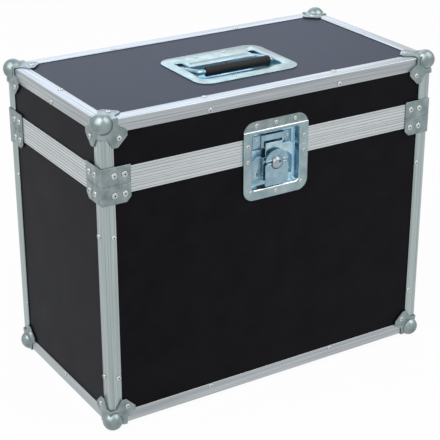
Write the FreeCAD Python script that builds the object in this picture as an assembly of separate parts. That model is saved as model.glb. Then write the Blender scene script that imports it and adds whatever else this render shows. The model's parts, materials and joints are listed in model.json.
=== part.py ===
import FreeCAD, Part

import math
import os

# Carrying case for records, built as a flight case: laminated plywood panels in a riveted
# aluminium frame, steel ball corners, a hinged lid, a recessed butterfly latch on the front
# and a recessed bail handle on the lid.
# Millimetres. X runs to the right, Y to the back and Z up. The origin is on the floor, in the
# middle of the footprint. The front of the case faces minus Y.

Vector = FreeCAD.Vector
ORIGIN = Vector(0, 0, 0)
AXIS_X = Vector(1, 0, 0)
AXIS_Y = Vector(0, 1, 0)
AXIS_Z = Vector(0, 0, 1)

# One overrun serves every cut that has to pass right through
OVERRUN = 2.0
# Two points nearer than this are one point
SAME_POINT = 0.000001

# Case over the outer faces of its edge angles
CASE_LENGTH = 524.0
CASE_DEPTH = 278.0
CASE_HEIGHT = 438.0
LID_HEIGHT = 88.0
SEAM_GAP = 0.2

# Panels and foam pads
PANEL_THICKNESS = 7.0
FOAM_THICKNESS = 6.0
FOAM_MARGIN = 1.0

# Edge angles
ANGLE_LEG = 18.4
ANGLE_WALL = 1.5
ANGLE_EDGE_RADIUS = 1.4

# Closing rails: a tongue on the base and a groove in the lid, with a lined outer band
BASE_BAND = 13.5
LID_BAND = 22.5
BASE_INNER_LEG = 10.0
LID_INNER_LEG = 16.0
RAIL_WALL = 1.5
TONGUE_HEIGHT = 4.5
TONGUE_ROOT = 3.0
TONGUE_TIP = 2.0
GROOVE_SIDE_CLEARANCE = 1.2
GROOVE_TOP_CLEARANCE = 1.0
BAND_LINE_PITCH = 4.2
BAND_LINE_WIDTH = 0.9
BAND_LINE_DEPTH = 0.35

# Ball corners
BALL_RADIUS = 13.9
BALL_PROUD = 8.0
CORNER_REACH = 37.5
CORNER_LEG = 25.0
CORNER_NECK = 9.0
CORNER_SHOULDER = 17.0
CORNER_EAR = 23.6
CORNER_PLATE = 1.5
CORNER_EAR_RADIUS = 2.5
CORNER_RIVET = 25.5
FOOT_FLAT_DEPTH = 0.3

# Corner braces at the seam
BRACE_REACH = 41.0
BRACE_PLATE = 1.5
BRACE_HEIGHT = 25.3
BRACE_CHAMFER = 7.0
BRACE_RIVETS = (17.0, 32.0)
BRACE_RIVET_HEIGHT = 13.3

# Rivet heads
RIVET_RADIUS = 3.3
RIVET_HEIGHT = 1.3
SMALL_RIVET_RADIUS = 2.6
SMALL_RIVET_HEIGHT = 1.0
RIVET_CROWN_SHARE = 0.55
RIVET_SIDES = 8
EDGE_RIVET_SHARE = 0.393
UPRIGHT_RIVET_SHARE = 0.59
EDGE_RIVET_INSET = 14.5

# Lid hinges on the back
HINGE_SPREAD_SHARE = 0.572
HINGE_LENGTH = 60.0
HINGE_LEAF_WALL = 1.5
HINGE_LEAF_BEYOND = 18.0
HINGE_PIN_RADIUS = 1.5
HINGE_PIN_CLEARANCE = 0.05
HINGE_KNUCKLE_RADIUS = 3.3
HINGE_KNUCKLES = 3
HINGE_KNUCKLE_GAP = 0.3
HINGE_AXIS_OFFSET = 4.5
HINGE_RIVET_SPREAD = 20.0
HINGE_RIVET_SETBACK = 9.0

# Latch dish, heights counted from the seam
DISH_HALF_WIDTH = 52.0
DISH_TOP = 45.0
DISH_BOTTOM = -67.0
DISH_TOP_RADIUS = 17.0
DISH_BOTTOM_RADIUS = 16.0
DISH_CRANK = 32.0
DISH_SHEET = 1.5
DISH_WALL = 1.2
DISH_FLOOR_DEPTH = 10.5
RECESS_HALF_WIDTH = 38.0
RECESS_TOP = 27.0
RECESS_BOTTOM = -52.5
RECESS_RADIUS = 5.0
CUTOUT_CLEARANCE = 0.3
DISH_TOP_RIVETS = 31.0
DISH_TOP_RIVET_HEIGHT = 38.6
DISH_SIDE_RIVETS = 45.5
DISH_SIDE_RIVET_LID = 12.0
DISH_SIDE_RIVET_BASE = -10.0
DISH_LOW_RIVETS = 41.0
DISH_LOW_RIVET_HEIGHT = -54.5
DISH_BOTTOM_RIVET_HEIGHT = -59.5

# Latch keeper in the lid half of the dish
KEEPER_HALF_WIDTH = 19.0
KEEPER_FOOT_END = 31.5
KEEPER_SHEET = 1.2
KEEPER_DEPTH = 6.6
KEEPER_TOP = 20.0
KEEPER_BOTTOM = 2.0
KEEPER_SLOT_HALF_WIDTH = 14.5
KEEPER_SLOT_TOP = 11.5
KEEPER_SLOT_BOTTOM = 5.0
KEEPER_RIVETS = 25.0
KEEPER_RIVET_HEIGHT = 13.0

# Turning boss, its shaft and its eccentric
BOSS_HEIGHT = -18.0
BOSS_RADIUS = 8.5
BOSS_PROUD = 4.8
BOSS_BACK_DEPTH = 1.8
BOSS_CHAMFER = 0.8
BOSS_FLAT = 7.4
BOSS_DIMPLE_RADIUS = 1.3
BOSS_DIMPLE_DEPTH = 1.0
BOSS_DIMPLE_OFFSET = 3.4
ECCENTRIC_SIDE_GAP = 0.1
SHAFT_RADIUS = 5.0
SHAFT_CLEARANCE = 0.05
SHAFT_END_GAP = 0.2
ECCENTRIC_RADIUS = 6.0
ECCENTRIC_THROW = 4.0

# Cover plate of the latch mechanism
COVER_HALF_WIDTH = 19.0
COVER_FOOT_END = 33.0
COVER_SHEET = 1.2
COVER_DEPTH = 2.4
COVER_TOP = -10.0
COVER_BOTTOM = -43.0
COVER_CHAMFER = 8.0
COVER_RIVETS = 25.7
COVER_RIVET_HEIGHT = -35.0

# Drawbar with its hook
DRAWBAR_DEPTH = 4.0
DRAWBAR_SHEET = 1.4
DRAWBAR_HALF_WIDTH = 13.5
DRAWBAR_TOP = 9.0
DRAWBAR_BOTTOM = -31.0
DRAWBAR_SHOULDER_END = 27.0
DRAWBAR_SHOULDER_TOP = 5.0
DRAWBAR_SHOULDER_BOTTOM = -8.0
DRAWBAR_LIP_HEIGHT = 1.6
DRAWBAR_LIP_GAP = 0.3
DRAWBAR_CORNER_RADIUS = 2.0
YOKE_SIDE_CLEARANCE = 0.4
YOKE_HEIGHT_CLEARANCE = 0.95

# Butterfly wings, hinged to the boss on two pins
WING_DEPTH = 2.0
WING_SHEET = 1.4
WING_PIN_RADIUS = 0.6
WING_PIN_CLEARANCE = 0.05
WING_BARREL_RADIUS = 1.2
WING_PIN_SPREAD = 2.2
WING_PIN_RISE = 1.5
WING_BARREL_START = 8.9
WING_BARREL_END = 15.0
WING_PIN_END = 15.3
WING_NOTCH_RADIUS = 9.6
UPPER_WING_RADIUS = 18.5
LOWER_WING_HALF_WIDTH = 18.4
LOWER_WING_BOTTOM = -50.0
LOWER_WING_CHAMFER = 3.4
LOWER_WING_CORNER_RADIUS = 1.2

# Handle dish in the lid
HANDLE_DISH_HALF_WIDTH = 82.0
HANDLE_DISH_FRONT = -83.0
HANDLE_DISH_BACK = 42.5
HANDLE_DISH_RADIUS = 22.0
HANDLE_SHEET = 1.5
HANDLE_WALL = 1.2
HANDLE_RECESS_HALF_WIDTH = 65.0
HANDLE_RECESS_FRONT = -58.0
HANDLE_POCKET_BACK = 19.0
HANDLE_RECESS_RADIUS = 7.0
HANDLE_RECESS_DEPTH = 16.0
HANDLE_RECESS_REAR = -4.0
HANDLE_POCKET_RADIUS = 3.0
HANDLE_POCKET_WIDTH = 11.0
HANDLE_DISH_RIVETS = 23.0
HANDLE_FRONT_RIVETS = -70.5
HANDLE_BACK_RIVETS = 31.0

# Bail and grip
BAIL_RADIUS = 3.5
BAIL_HALF_WIDTH = 59.5
BAIL_AXIS_BACK = 12.0
BAIL_AXIS_DEPTH = 7.5
BAIL_GRIP_FRONT = -43.0
BAIL_BEND_RADIUS = 7.0
BAIL_EYE_RADIUS = 4.8
BAIL_EYE_WALL = 0.4
BAIL_TILT = 10.5
TRUNNION_RADIUS = 2.5
TRUNNION_CLEARANCE = 0.05
TRUNNION_PROUD = 0.3
GRIP_RADIUS = 6.9
GRIP_LENGTH = 103.0
GRIP_END_BEVEL = 1.2
GRIP_BORE_CLEARANCE = 0.05

# Planes that follow from the sizes above
HALF_LENGTH = CASE_LENGTH / 2
HALF_DEPTH = CASE_DEPTH / 2
BOX_BOTTOM = BALL_PROUD - FOOT_FLAT_DEPTH
BOX_TOP = BOX_BOTTOM + CASE_HEIGHT
SEAM = BOX_TOP - LID_HEIGHT
LID_FLOOR = SEAM + SEAM_GAP
PANEL_X = HALF_LENGTH - ANGLE_WALL
PANEL_Y = HALF_DEPTH - ANGLE_WALL
PANEL_BOTTOM = BOX_BOTTOM + ANGLE_WALL
PANEL_TOP = BOX_TOP - ANGLE_WALL
RAIL_DEPTH = ANGLE_WALL + PANEL_THICKNESS + RAIL_WALL
GROOVE_DEPTH = TONGUE_HEIGHT + GROOVE_TOP_CLEARANCE
GROOVE_BLOCK = GROOVE_DEPTH + RAIL_WALL
LATCH_CUTOUT = RECESS_HALF_WIDTH + DISH_WALL + CUTOUT_CLEARANCE
HINGE_Y = HALF_DEPTH + HINGE_AXIS_OFFSET

# The four upright sides: name, turn about Z from the front, length, distance from the middle
SIDES = (
    ("front", 0, CASE_LENGTH, HALF_DEPTH),
    ("right", 90, CASE_DEPTH, HALF_LENGTH),
    ("back", 180, CASE_LENGTH, HALF_DEPTH),
    ("left", 270, CASE_DEPTH, HALF_LENGTH),
)


def front_y(depth):
    """Y of a plane at this depth behind the outer face of the front edge angles."""
    return depth - HALF_DEPTH


def latch_z(height):
    """Z of a place on the latch whose height is counted from the seam."""
    return SEAM + height


def span(low, high):
    return (min(low, high), max(low, high))


def both(half):
    return (-half, half)


def block(x_span, y_span, z_span):
    """Box between the lowest and highest value on each axis."""
    corner = Vector(x_span[0], y_span[0], z_span[0])
    return Part.makeBox(x_span[1] - x_span[0], y_span[1] - y_span[0], z_span[1] - z_span[0], corner)


def rod(start, end, radius):
    """Round bar from one point to another."""
    run = end - start
    return Part.makeCylinder(radius, run.Length, start, run)


def fuse(shapes):
    """One clean solid from shapes that touch or overlap."""
    whole = shapes[0].multiFuse(list(shapes[1:]))
    return whole.removeSplitter()


def mirrored(shape, axis):
    """Copy of a shape on the other side of the middle plane across this axis."""
    return shape.mirror(ORIGIN, axis)


def both_sides(shape):
    return [shape, mirrored(shape, AXIS_X)]


def four_corners(shape):
    """The shape and its three mirror images about the middle planes across X and Y."""
    pair = both_sides(shape)
    return pair + [mirrored(one, AXIS_Y) for one in pair]


def in_plane(u, v, plane):
    """Point with two coordinates in one of the planes XY, XZ or YZ."""
    if plane == "XY":
        return Vector(u, v, 0)
    if plane == "XZ":
        return Vector(u, 0, v)
    return Vector(0, u, v)


def plane_normal(plane):
    return {"XY": AXIS_Z, "XZ": AXIS_Y, "YZ": AXIS_X}[plane]


def outline(corners, plane):
    """Closed wire through (u, v, radius) corners, each rounded by its own radius."""
    starts = []
    ends = []
    arcs = []
    count = len(corners)
    for index, (u, v, radius) in enumerate(corners):
        here = in_plane(u, v, plane)
        before = in_plane(corners[index - 1][0], corners[index - 1][1], plane)
        after_corner = corners[(index + 1) % count]
        after = in_plane(after_corner[0], after_corner[1], plane)
        if radius <= 0:
            starts.append(here)
            ends.append(here)
            continue
        to_before = (before - here).normalize()
        to_after = (after - here).normalize()
        half_angle = to_before.getAngle(to_after) / 2
        reach = radius / math.tan(half_angle)
        bisector = (to_before + to_after).normalize()
        middle = here + bisector * (radius / math.sin(half_angle) - radius)
        starts.append(here + to_before * reach)
        ends.append(here + to_after * reach)
        arcs.append(Part.Arc(starts[-1], middle, ends[-1]).toShape())
    lines = []
    for index in range(count):
        start = ends[index]
        end = starts[(index + 1) % count]
        if not start.isEqual(end, SAME_POINT):
            lines.append(Part.makeLine(start, end))
    return Part.Wire(Part.__sortEdges__(arcs + lines))


def sheet(corners, plane, low, high):
    """Flat piece with a rounded outline, between two values on the axis across its plane."""
    normal = plane_normal(plane)
    face = Part.Face(outline(corners, plane))
    face.translate(normal * low)
    return face.extrude(normal * (high - low))


def rectangle(u_span, v_span, radius=0):
    """Corners of a rectangle whose four corners have one radius."""
    low_u, high_u = u_span
    low_v, high_v = v_span
    return [
        (low_u, low_v, radius),
        (high_u, low_v, radius),
        (high_u, high_v, radius),
        (low_u, high_v, radius),
    ]


def turned(shape, angle, centre=ORIGIN, axis=AXIS_Z):
    copy = shape.copy()
    copy.rotate(centre, axis, angle)
    return copy


def polygon_ring(centre, outward, radius):
    """Closed ring of points round a centre, square to the outward direction."""
    across = AXIS_Y if abs(outward.x) > abs(outward.y) else AXIS_X
    upright = outward.cross(across)
    points = []
    for index in range(RIVET_SIDES + 1):
        angle = 2 * math.pi * index / RIVET_SIDES
        points.append(centre + (across * math.cos(angle) + upright * math.sin(angle)) * radius)
    return points


def rivet_head(centre, outward, radius=RIVET_RADIUS, height=RIVET_HEIGHT):
    """Low faceted head standing outwards from the face on which its centre lies."""
    foot = polygon_ring(centre, outward, radius)
    crown = polygon_ring(centre + outward * height, outward, radius * RIVET_CROWN_SHARE)
    faces = [Part.Face(Part.makePolygon(foot)), Part.Face(Part.makePolygon(crown))]
    for index in range(RIVET_SIDES):
        corners = [foot[index], foot[index + 1], crown[index + 1], crown[index], foot[index]]
        faces.append(Part.Face(Part.makePolygon(corners)))
    head = Part.makeSolid(Part.makeShell(faces))
    if head.Volume < 0:
        head.reverse()
    return head


def save(node, solids):
    """Write one node, which is a solid or a group of separate solids."""
    shape = solids[0] if len(solids) == 1 else Part.makeCompound(solids)
    shape.exportStep(os.path.join("parts", node + ".step"))


# Panels

def base_panels():
    """Floor panel, with the four walls standing on it between the rails and the floor."""
    floor_top = PANEL_BOTTOM + PANEL_THICKNESS
    wall_z = (floor_top, SEAM - RAIL_WALL)
    walls = wall_panels(wall_z)
    cutout_bottom = latch_z(RECESS_BOTTOM) - DISH_WALL - CUTOUT_CLEARANCE
    cutout = block(both(LATCH_CUTOUT), (-HALF_DEPTH, front_y(RAIL_DEPTH)), (cutout_bottom, SEAM))
    walls["front"] = walls["front"].cut(cutout)
    walls["bottom"] = block(both(PANEL_X), both(PANEL_Y), (PANEL_BOTTOM, floor_top))
    return walls


def lid_panels():
    """Top panel with the cut-out for the handle dish, and the four walls that hang from it."""
    ceiling = PANEL_TOP - PANEL_THICKNESS
    wall_z = (LID_FLOOR + GROOVE_BLOCK, ceiling)
    walls = wall_panels(wall_z)
    cutout_top = latch_z(RECESS_TOP) + DISH_WALL + CUTOUT_CLEARANCE
    cutout = block(both(LATCH_CUTOUT), (-HALF_DEPTH, front_y(RAIL_DEPTH)), (SEAM, cutout_top))
    walls["front"] = walls["front"].cut(cutout)
    top = block(both(PANEL_X), both(PANEL_Y), (ceiling, PANEL_TOP))
    walls["top"] = top.cut(handle_cutout(ceiling - OVERRUN, PANEL_TOP + OVERRUN))
    return walls


def wall_panels(wall_z):
    """Front and back walls over the whole length, with the side walls between them."""
    inner_x = PANEL_X - PANEL_THICKNESS
    inner_y = PANEL_Y - PANEL_THICKNESS
    return {
        "front": block(both(PANEL_X), (-PANEL_Y, -inner_y), wall_z),
        "back": block(both(PANEL_X), (inner_y, PANEL_Y), wall_z),
        "left": block((-PANEL_X, -inner_x), both(inner_y), wall_z),
        "right": block((inner_x, PANEL_X), both(inner_y), wall_z),
    }


def handle_cutout(low, high):
    """Opening in the top panel and its foam for the recess of the handle dish."""
    margin = HANDLE_WALL + TRUNNION_PROUD + CUTOUT_CLEARANCE
    x_span = both(HANDLE_RECESS_HALF_WIDTH + margin)
    y_span = (HANDLE_RECESS_FRONT - margin, HANDLE_POCKET_BACK + margin)
    return block(x_span, y_span, (low, high))


def foam_pads():
    """Pad on the floor of the base and pad under the top of the lid, inside the rails."""
    x_span = both(HALF_LENGTH - RAIL_DEPTH - FOAM_MARGIN)
    y_span = both(HALF_DEPTH - RAIL_DEPTH - FOAM_MARGIN)
    floor = PANEL_BOTTOM + PANEL_THICKNESS
    ceiling = PANEL_TOP - PANEL_THICKNESS
    floor_pad = block(x_span, y_span, (floor, floor + FOAM_THICKNESS))
    lid_pad = block(x_span, y_span, (ceiling - FOAM_THICKNESS, ceiling))
    cutout = handle_cutout(ceiling - FOAM_THICKNESS - OVERRUN, ceiling + OVERRUN)
    return floor_pad, lid_pad.cut(cutout)


# Frame of edge angles and rails

def mitred_bar(section, length):
    """Bar along X, its section given as (inward, up, radius) corners, mitred at both ends.

    The outer face lies on the plane Y = 0 and the bar reaches inwards to positive Y.
    """
    depth = max(corner[0] for corner in section)
    low = min(corner[1] for corner in section)
    high = max(corner[1] for corner in section)
    bar = sheet(section, "YZ", -length / 2, length / 2)
    mitre = [
        (-length / 2, 0, 0),
        (length / 2, 0, 0),
        (length / 2 - depth, depth, 0),
        (depth - length / 2, depth, 0),
    ]
    return bar.common(sheet(mitre, "XY", low, high))


def frame_bars(section):
    """The same section run round all four sides, as separate bars that meet in mitres."""
    bars = {}
    for side, angle, length, reach in SIDES:
        bar = mitred_bar(section, length)
        bar.translate(Vector(0, -reach, 0))
        bars[side] = turned(bar, angle)
    return bars


def angle_section(corner_z, direction):
    """Edge angle whose corner is at this height, with its upright leg up (1) or down (-1)."""
    def at(inward, up, radius=0):
        return (inward, corner_z + direction * up, radius)
    return [
        at(0, 0, ANGLE_EDGE_RADIUS),
        at(ANGLE_LEG, 0),
        at(ANGLE_LEG, ANGLE_WALL),
        at(ANGLE_WALL, ANGLE_WALL),
        at(ANGLE_WALL, ANGLE_LEG),
        at(0, ANGLE_LEG),
    ]


def corner_angle(z_span):
    """Upright edge angle at the front left corner."""
    section = [
        (-HALF_LENGTH, -HALF_DEPTH, ANGLE_EDGE_RADIUS),
        (ANGLE_LEG - HALF_LENGTH, -HALF_DEPTH, 0),
        (ANGLE_LEG - HALF_LENGTH, -PANEL_Y, 0),
        (-PANEL_X, -PANEL_Y, 0),
        (-PANEL_X, ANGLE_LEG - HALF_DEPTH, 0),
        (-HALF_LENGTH, ANGLE_LEG - HALF_DEPTH, 0),
    ]
    return sheet(section, "XY", z_span[0], z_span[1])


def band_lines(band, start, direction):
    """Corners of the lined outer face of a rail, from the seam towards the panel.

    The lines are shallow notches at one pitch, centred on the band.
    """
    count = int((band - BAND_LINE_PITCH) / BAND_LINE_PITCH) + 1
    first = (band - (count - 1) * BAND_LINE_PITCH) / 2
    corners = []
    for index in range(count):
        middle = first + index * BAND_LINE_PITCH
        for offset, inward in ((-0.5, 0), (-0.5, 1), (0.5, 1), (0.5, 0)):
            height = start + direction * (middle + offset * BAND_LINE_WIDTH)
            corners.append((inward * BAND_LINE_DEPTH, height, 0))
    return corners


def base_rail_section():
    """Cap over the wall panel with a tapered tongue that stands into the lid."""
    middle = ANGLE_WALL + PANEL_THICKNESS / 2
    root = TONGUE_ROOT / 2
    tip = TONGUE_TIP / 2
    web = SEAM - RAIL_WALL
    inner = RAIL_DEPTH - RAIL_WALL
    corners = [(0, SEAM, 0)]
    corners += band_lines(BASE_BAND, SEAM, -1)
    corners += [
        (0, SEAM - BASE_BAND, 0),
        (ANGLE_WALL, SEAM - BASE_BAND, 0),
        (ANGLE_WALL, web, 0),
        (inner, web, 0),
        (inner, SEAM - BASE_INNER_LEG, 0),
        (RAIL_DEPTH, SEAM - BASE_INNER_LEG, 0),
        (RAIL_DEPTH, SEAM, 0),
        (middle + root, SEAM, 0),
        (middle + tip, SEAM + TONGUE_HEIGHT, 0),
        (middle - tip, SEAM + TONGUE_HEIGHT, 0),
        (middle - root, SEAM, 0),
    ]
    return corners


def lid_rail_section():
    """Channel under the wall panel of the lid, whose groove takes the tongue."""
    middle = ANGLE_WALL + PANEL_THICKNESS / 2
    groove = TONGUE_ROOT / 2 + GROOVE_SIDE_CLEARANCE
    inner = RAIL_DEPTH - RAIL_WALL
    corners = [(0, LID_FLOOR, 0)]
    corners += band_lines(LID_BAND - SEAM_GAP, LID_FLOOR, 1)
    corners += [
        (0, SEAM + LID_BAND, 0),
        (ANGLE_WALL, SEAM + LID_BAND, 0),
        (ANGLE_WALL, LID_FLOOR + GROOVE_BLOCK, 0),
        (inner, LID_FLOOR + GROOVE_BLOCK, 0),
        (inner, LID_FLOOR + LID_INNER_LEG, 0),
        (RAIL_DEPTH, LID_FLOOR + LID_INNER_LEG, 0),
        (RAIL_DEPTH, LID_FLOOR, 0),
        (middle + groove, LID_FLOOR, 0),
        (middle + groove, LID_FLOOR + GROOVE_DEPTH, 0),
        (middle - groove, LID_FLOOR + GROOVE_DEPTH, 0),
        (middle - groove, LID_FLOOR, 0),
    ]
    return corners


def rails(section):
    """Rail round the case. The latch dish parts its front into a left and a right length."""
    bars = frame_bars(section)
    reach = 2 * CASE_HEIGHT
    gap = block(both(LATCH_CUTOUT), (-HALF_DEPTH - OVERRUN, front_y(RAIL_DEPTH + OVERRUN)), (0, reach))
    bars["front"] = bars["front"].cut(gap)
    return bars


# Ball corners and braces

def corner_ear(plane, low, high):
    """Face plate of a ball corner at (0, 0): it widens over the panel to one ear with its rivet."""
    radius = CORNER_EAR_RADIUS
    corners = [
        (CORNER_PLATE, CORNER_PLATE, 0),
        (-CORNER_LEG, CORNER_PLATE, 0),
        (-CORNER_LEG, -CORNER_NECK, radius),
        (-CORNER_REACH, -CORNER_SHOULDER, radius),
        (-CORNER_REACH, -CORNER_EAR, radius),
        (-CORNER_EAR, -CORNER_REACH, radius),
        (-CORNER_SHOULDER, -CORNER_REACH, radius),
        (-CORNER_NECK, -CORNER_LEG, radius),
        (CORNER_PLATE, -CORNER_LEG, 0),
    ]
    return sheet(corners, plane, low, high)


def ball_corner():
    """Pressed corner at the right, back, top corner of a box whose corner is the origin."""
    inset = BALL_PROUD - BALL_RADIUS
    ball = Part.makeSphere(BALL_RADIUS, Vector(inset, inset, inset))
    plates = [corner_ear(plane, 0, CORNER_PLATE) for plane in ("XY", "XZ", "YZ")]
    whole = fuse([ball] + plates)
    reach = CORNER_REACH + OVERRUN
    return whole.cut(block((-reach, 0), (-reach, 0), (-reach, 0)))


def corner_rivets():
    """Rivet heads on the three plates of the same corner."""
    step = -CORNER_RIVET
    proud = CORNER_PLATE
    return [
        rivet_head(Vector(step, step, proud), AXIS_Z),
        rivet_head(Vector(step, proud, step), AXIS_Y),
        rivet_head(Vector(proud, step, step), AXIS_X),
    ]


def at_top(shapes):
    """Move shapes built about the origin to the right, back, top corner of the case."""
    return [moved(shape, Vector(HALF_LENGTH, HALF_DEPTH, BOX_TOP)) for shape in shapes]


def at_bottom(shapes):
    """Mirror shapes downwards and move them to the right, back, bottom corner of the case."""
    flipped = [mirrored(shape, AXIS_Z) for shape in shapes]
    return [moved(shape, Vector(HALF_LENGTH, HALF_DEPTH, BOX_BOTTOM)) for shape in flipped]


def moved(shape, step):
    copy = shape.copy()
    copy.translate(step)
    return copy


def ball_corners(place):
    """Four ball corners of the lid or of the base. The lower ones stand on a small flat."""
    corners = []
    for corner in four_corners(place([ball_corner()])[0]):
        below = block(both(CASE_LENGTH), both(CASE_LENGTH), (-CASE_LENGTH, 0))
        corners.append(corner.cut(below))
    return corners


def brace(z_span, chamfer_z):
    """Brace bent round the front left corner, its ends cut off slanted on one side."""
    x_corner = -HALF_LENGTH
    y_corner = -HALF_DEPTH
    section = [
        (x_corner - BRACE_PLATE, y_corner - BRACE_PLATE, BRACE_PLATE),
        (x_corner + BRACE_REACH, y_corner - BRACE_PLATE, 0),
        (x_corner + BRACE_REACH, y_corner, 0),
        (x_corner, y_corner, 0),
        (x_corner, y_corner + BRACE_REACH, 0),
        (x_corner - BRACE_PLATE, y_corner + BRACE_REACH, 0),
    ]
    piece = sheet(section, "XY", z_span[0], z_span[1])
    if chamfer_z is None:
        return piece
    slope = BRACE_CHAMFER + OVERRUN
    for plane, start in (("XZ", x_corner), ("YZ", y_corner)):
        end = start + BRACE_REACH + OVERRUN
        triangle = [
            (end, chamfer_z - OVERRUN, 0),
            (end - slope - OVERRUN, chamfer_z - OVERRUN, 0),
            (end, chamfer_z + slope, 0),
        ]
        cutter = sheet(triangle, plane, -CASE_LENGTH, 0)
        piece = piece.cut(cutter)
    return piece


def brace_rivets(height):
    """Rivet heads on both legs of the brace at the front left corner."""
    heads = []
    for reach in BRACE_RIVETS:
        front = Vector(reach - HALF_LENGTH, -HALF_DEPTH - BRACE_PLATE, height)
        side = Vector(-HALF_LENGTH - BRACE_PLATE, reach - HALF_DEPTH, height)
        heads.append(rivet_head(front, -AXIS_Y))
        heads.append(rivet_head(side, -AXIS_X))
    return heads


def mirrored_groups(shapes):
    """Every shape of the front left corner at all four corners."""
    group = []
    for shape in shapes:
        group += four_corners(shape)
    return group


# Lid hinges

def hinge_leaf(direction, knuckles):
    """Leaf with its knuckles, about a hinge in the middle of the back.

    The leaf lies on the rail band, drops to the panel beyond it, and reaches up (1) or down
    (-1). Straps carry its knuckles.
    """
    band = LID_BAND if direction > 0 else BASE_BAND
    x_span = both(HINGE_LENGTH / 2)
    clear = HINGE_KNUCKLE_RADIUS - HINGE_LEAF_WALL

    def heights(low, high):
        return span(SEAM + direction * low, SEAM + direction * high)
    on_band = block(
        x_span,
        (HALF_DEPTH, HALF_DEPTH + HINGE_LEAF_WALL),
        heights(clear, band + HINGE_LEAF_WALL),
    )
    beyond = block(x_span, (PANEL_Y, HALF_DEPTH), heights(band, band + HINGE_LEAF_BEYOND))
    parts = [on_band, beyond]
    pitch = HINGE_LENGTH / HINGE_KNUCKLES
    for index in knuckles:
        start = index * pitch - HINGE_LENGTH / 2 + HINGE_KNUCKLE_GAP / 2
        end = start + pitch - HINGE_KNUCKLE_GAP
        parts.append(rod(Vector(start, HINGE_Y, SEAM), Vector(end, HINGE_Y, SEAM), HINGE_KNUCKLE_RADIUS))
        strap = heights(clear, HINGE_KNUCKLE_RADIUS)
        parts.append(block((start, end), (HALF_DEPTH, HINGE_Y), strap))
    reach = HINGE_LENGTH / 2 + OVERRUN
    bore = rod(
        Vector(-reach, HINGE_Y, SEAM),
        Vector(reach, HINGE_Y, SEAM),
        HINGE_PIN_RADIUS + HINGE_PIN_CLEARANCE,
    )
    return fuse(parts).cut(bore)


def hinge_pin():
    """Pin that stands out of the outer knuckles a little at each end."""
    end = HINGE_LENGTH / 2 + HINGE_KNUCKLE_GAP
    return rod(Vector(-end, HINGE_Y, SEAM), Vector(end, HINGE_Y, SEAM), HINGE_PIN_RADIUS)


def hinge_rivets(direction):
    """Rivet heads on the part of the leaf that lies on the panel."""
    band = LID_BAND if direction > 0 else BASE_BAND
    height = SEAM + direction * (band + HINGE_RIVET_SETBACK)
    places = [Vector(x, HALF_DEPTH, height) for x in both(HINGE_RIVET_SPREAD)]
    return [rivet_head(place, AXIS_Y) for place in places]


def at_hinges(shapes):
    """Copies of the shapes at the left and the right hinge."""
    return [moved(shape, AXIS_X * x) for x in both(HALF_LENGTH * HINGE_SPREAD_SHARE) for shape in shapes]


# Latch dish and its fixed parts

def dish_outline(margin):
    """Outline of the latch dish, drawn in by a margin."""
    low = latch_z(DISH_BOTTOM) + margin
    high = latch_z(DISH_TOP) - margin
    half = DISH_HALF_WIDTH - margin
    return [
        (-half, low, DISH_BOTTOM_RADIUS - margin),
        (half, low, DISH_BOTTOM_RADIUS - margin),
        (half, high, DISH_TOP_RADIUS - margin),
        (-half, high, DISH_TOP_RADIUS - margin),
    ]


def latch_dish():
    """Pressed dish: a flange over the rails, a rim down to the panels and a flat-floored tray.

    Above the rail band the flange is cranked down to lie on the panel of the lid.
    """
    crank = latch_z(DISH_CRANK)
    everywhere = both(CASE_LENGTH)
    above = block(everywhere, everywhere, (crank, crank + CASE_HEIGHT))
    top_strip = block(everywhere, everywhere, (crank - DISH_SHEET, crank + CASE_HEIGHT))
    flange = sheet(dish_outline(0), "XZ", front_y(-DISH_SHEET), front_y(0)).cut(above)
    crank_flange = sheet(dish_outline(0), "XZ", front_y(0), front_y(DISH_SHEET)).common(top_strip)
    rim = sheet(dish_outline(0), "XZ", front_y(0), front_y(ANGLE_WALL))
    rim = rim.cut(sheet(dish_outline(DISH_SHEET), "XZ", front_y(-OVERRUN), front_y(OVERRUN)))
    rim = rim.cut(block(everywhere, everywhere, (SEAM - BASE_BAND, SEAM + LID_BAND)))
    outside = rectangle(
        both(RECESS_HALF_WIDTH + DISH_WALL),
        (latch_z(RECESS_BOTTOM) - DISH_WALL, latch_z(RECESS_TOP) + DISH_WALL),
        RECESS_RADIUS + DISH_WALL,
    )
    inside = rectangle(
        both(RECESS_HALF_WIDTH),
        (latch_z(RECESS_BOTTOM), latch_z(RECESS_TOP)),
        RECESS_RADIUS,
    )
    tray = sheet(outside, "XZ", front_y(-DISH_SHEET), front_y(DISH_FLOOR_DEPTH + DISH_WALL))
    hollow = sheet(inside, "XZ", front_y(-DISH_SHEET - OVERRUN), front_y(DISH_FLOOR_DEPTH))
    return fuse([flange, crank_flange, rim, tray]).cut(hollow)


def split_at_seam(shape):
    """Lower and upper part of a shape, with the seam gap between them."""
    everywhere = both(CASE_LENGTH)
    below = shape.common(block(everywhere, everywhere, (0, SEAM)))
    above = shape.common(block(everywhere, everywhere, (LID_FLOOR, CASE_HEIGHT * 2)))
    return below, above


def dish_rivets():
    """Rivet heads on the flange of the base part and of the lid part of the dish."""
    face = front_y(-DISH_SHEET)
    low = [Vector(x, face, latch_z(DISH_SIDE_RIVET_BASE)) for x in both(DISH_SIDE_RIVETS)]
    low += [Vector(x, face, latch_z(DISH_LOW_RIVET_HEIGHT)) for x in both(DISH_LOW_RIVETS)]
    low.append(Vector(0, face, latch_z(DISH_BOTTOM_RIVET_HEIGHT)))
    high = [Vector(x, face, latch_z(DISH_SIDE_RIVET_LID)) for x in both(DISH_SIDE_RIVETS)]
    for x in (-DISH_TOP_RIVETS, 0, DISH_TOP_RIVETS):
        high.append(Vector(x, front_y(0), latch_z(DISH_TOP_RIVET_HEIGHT)))

    def heads(places):
        return [rivet_head(place, -AXIS_Y, SMALL_RIVET_RADIUS, SMALL_RIVET_HEIGHT) for place in places]
    return heads(low), heads(high)


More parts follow.
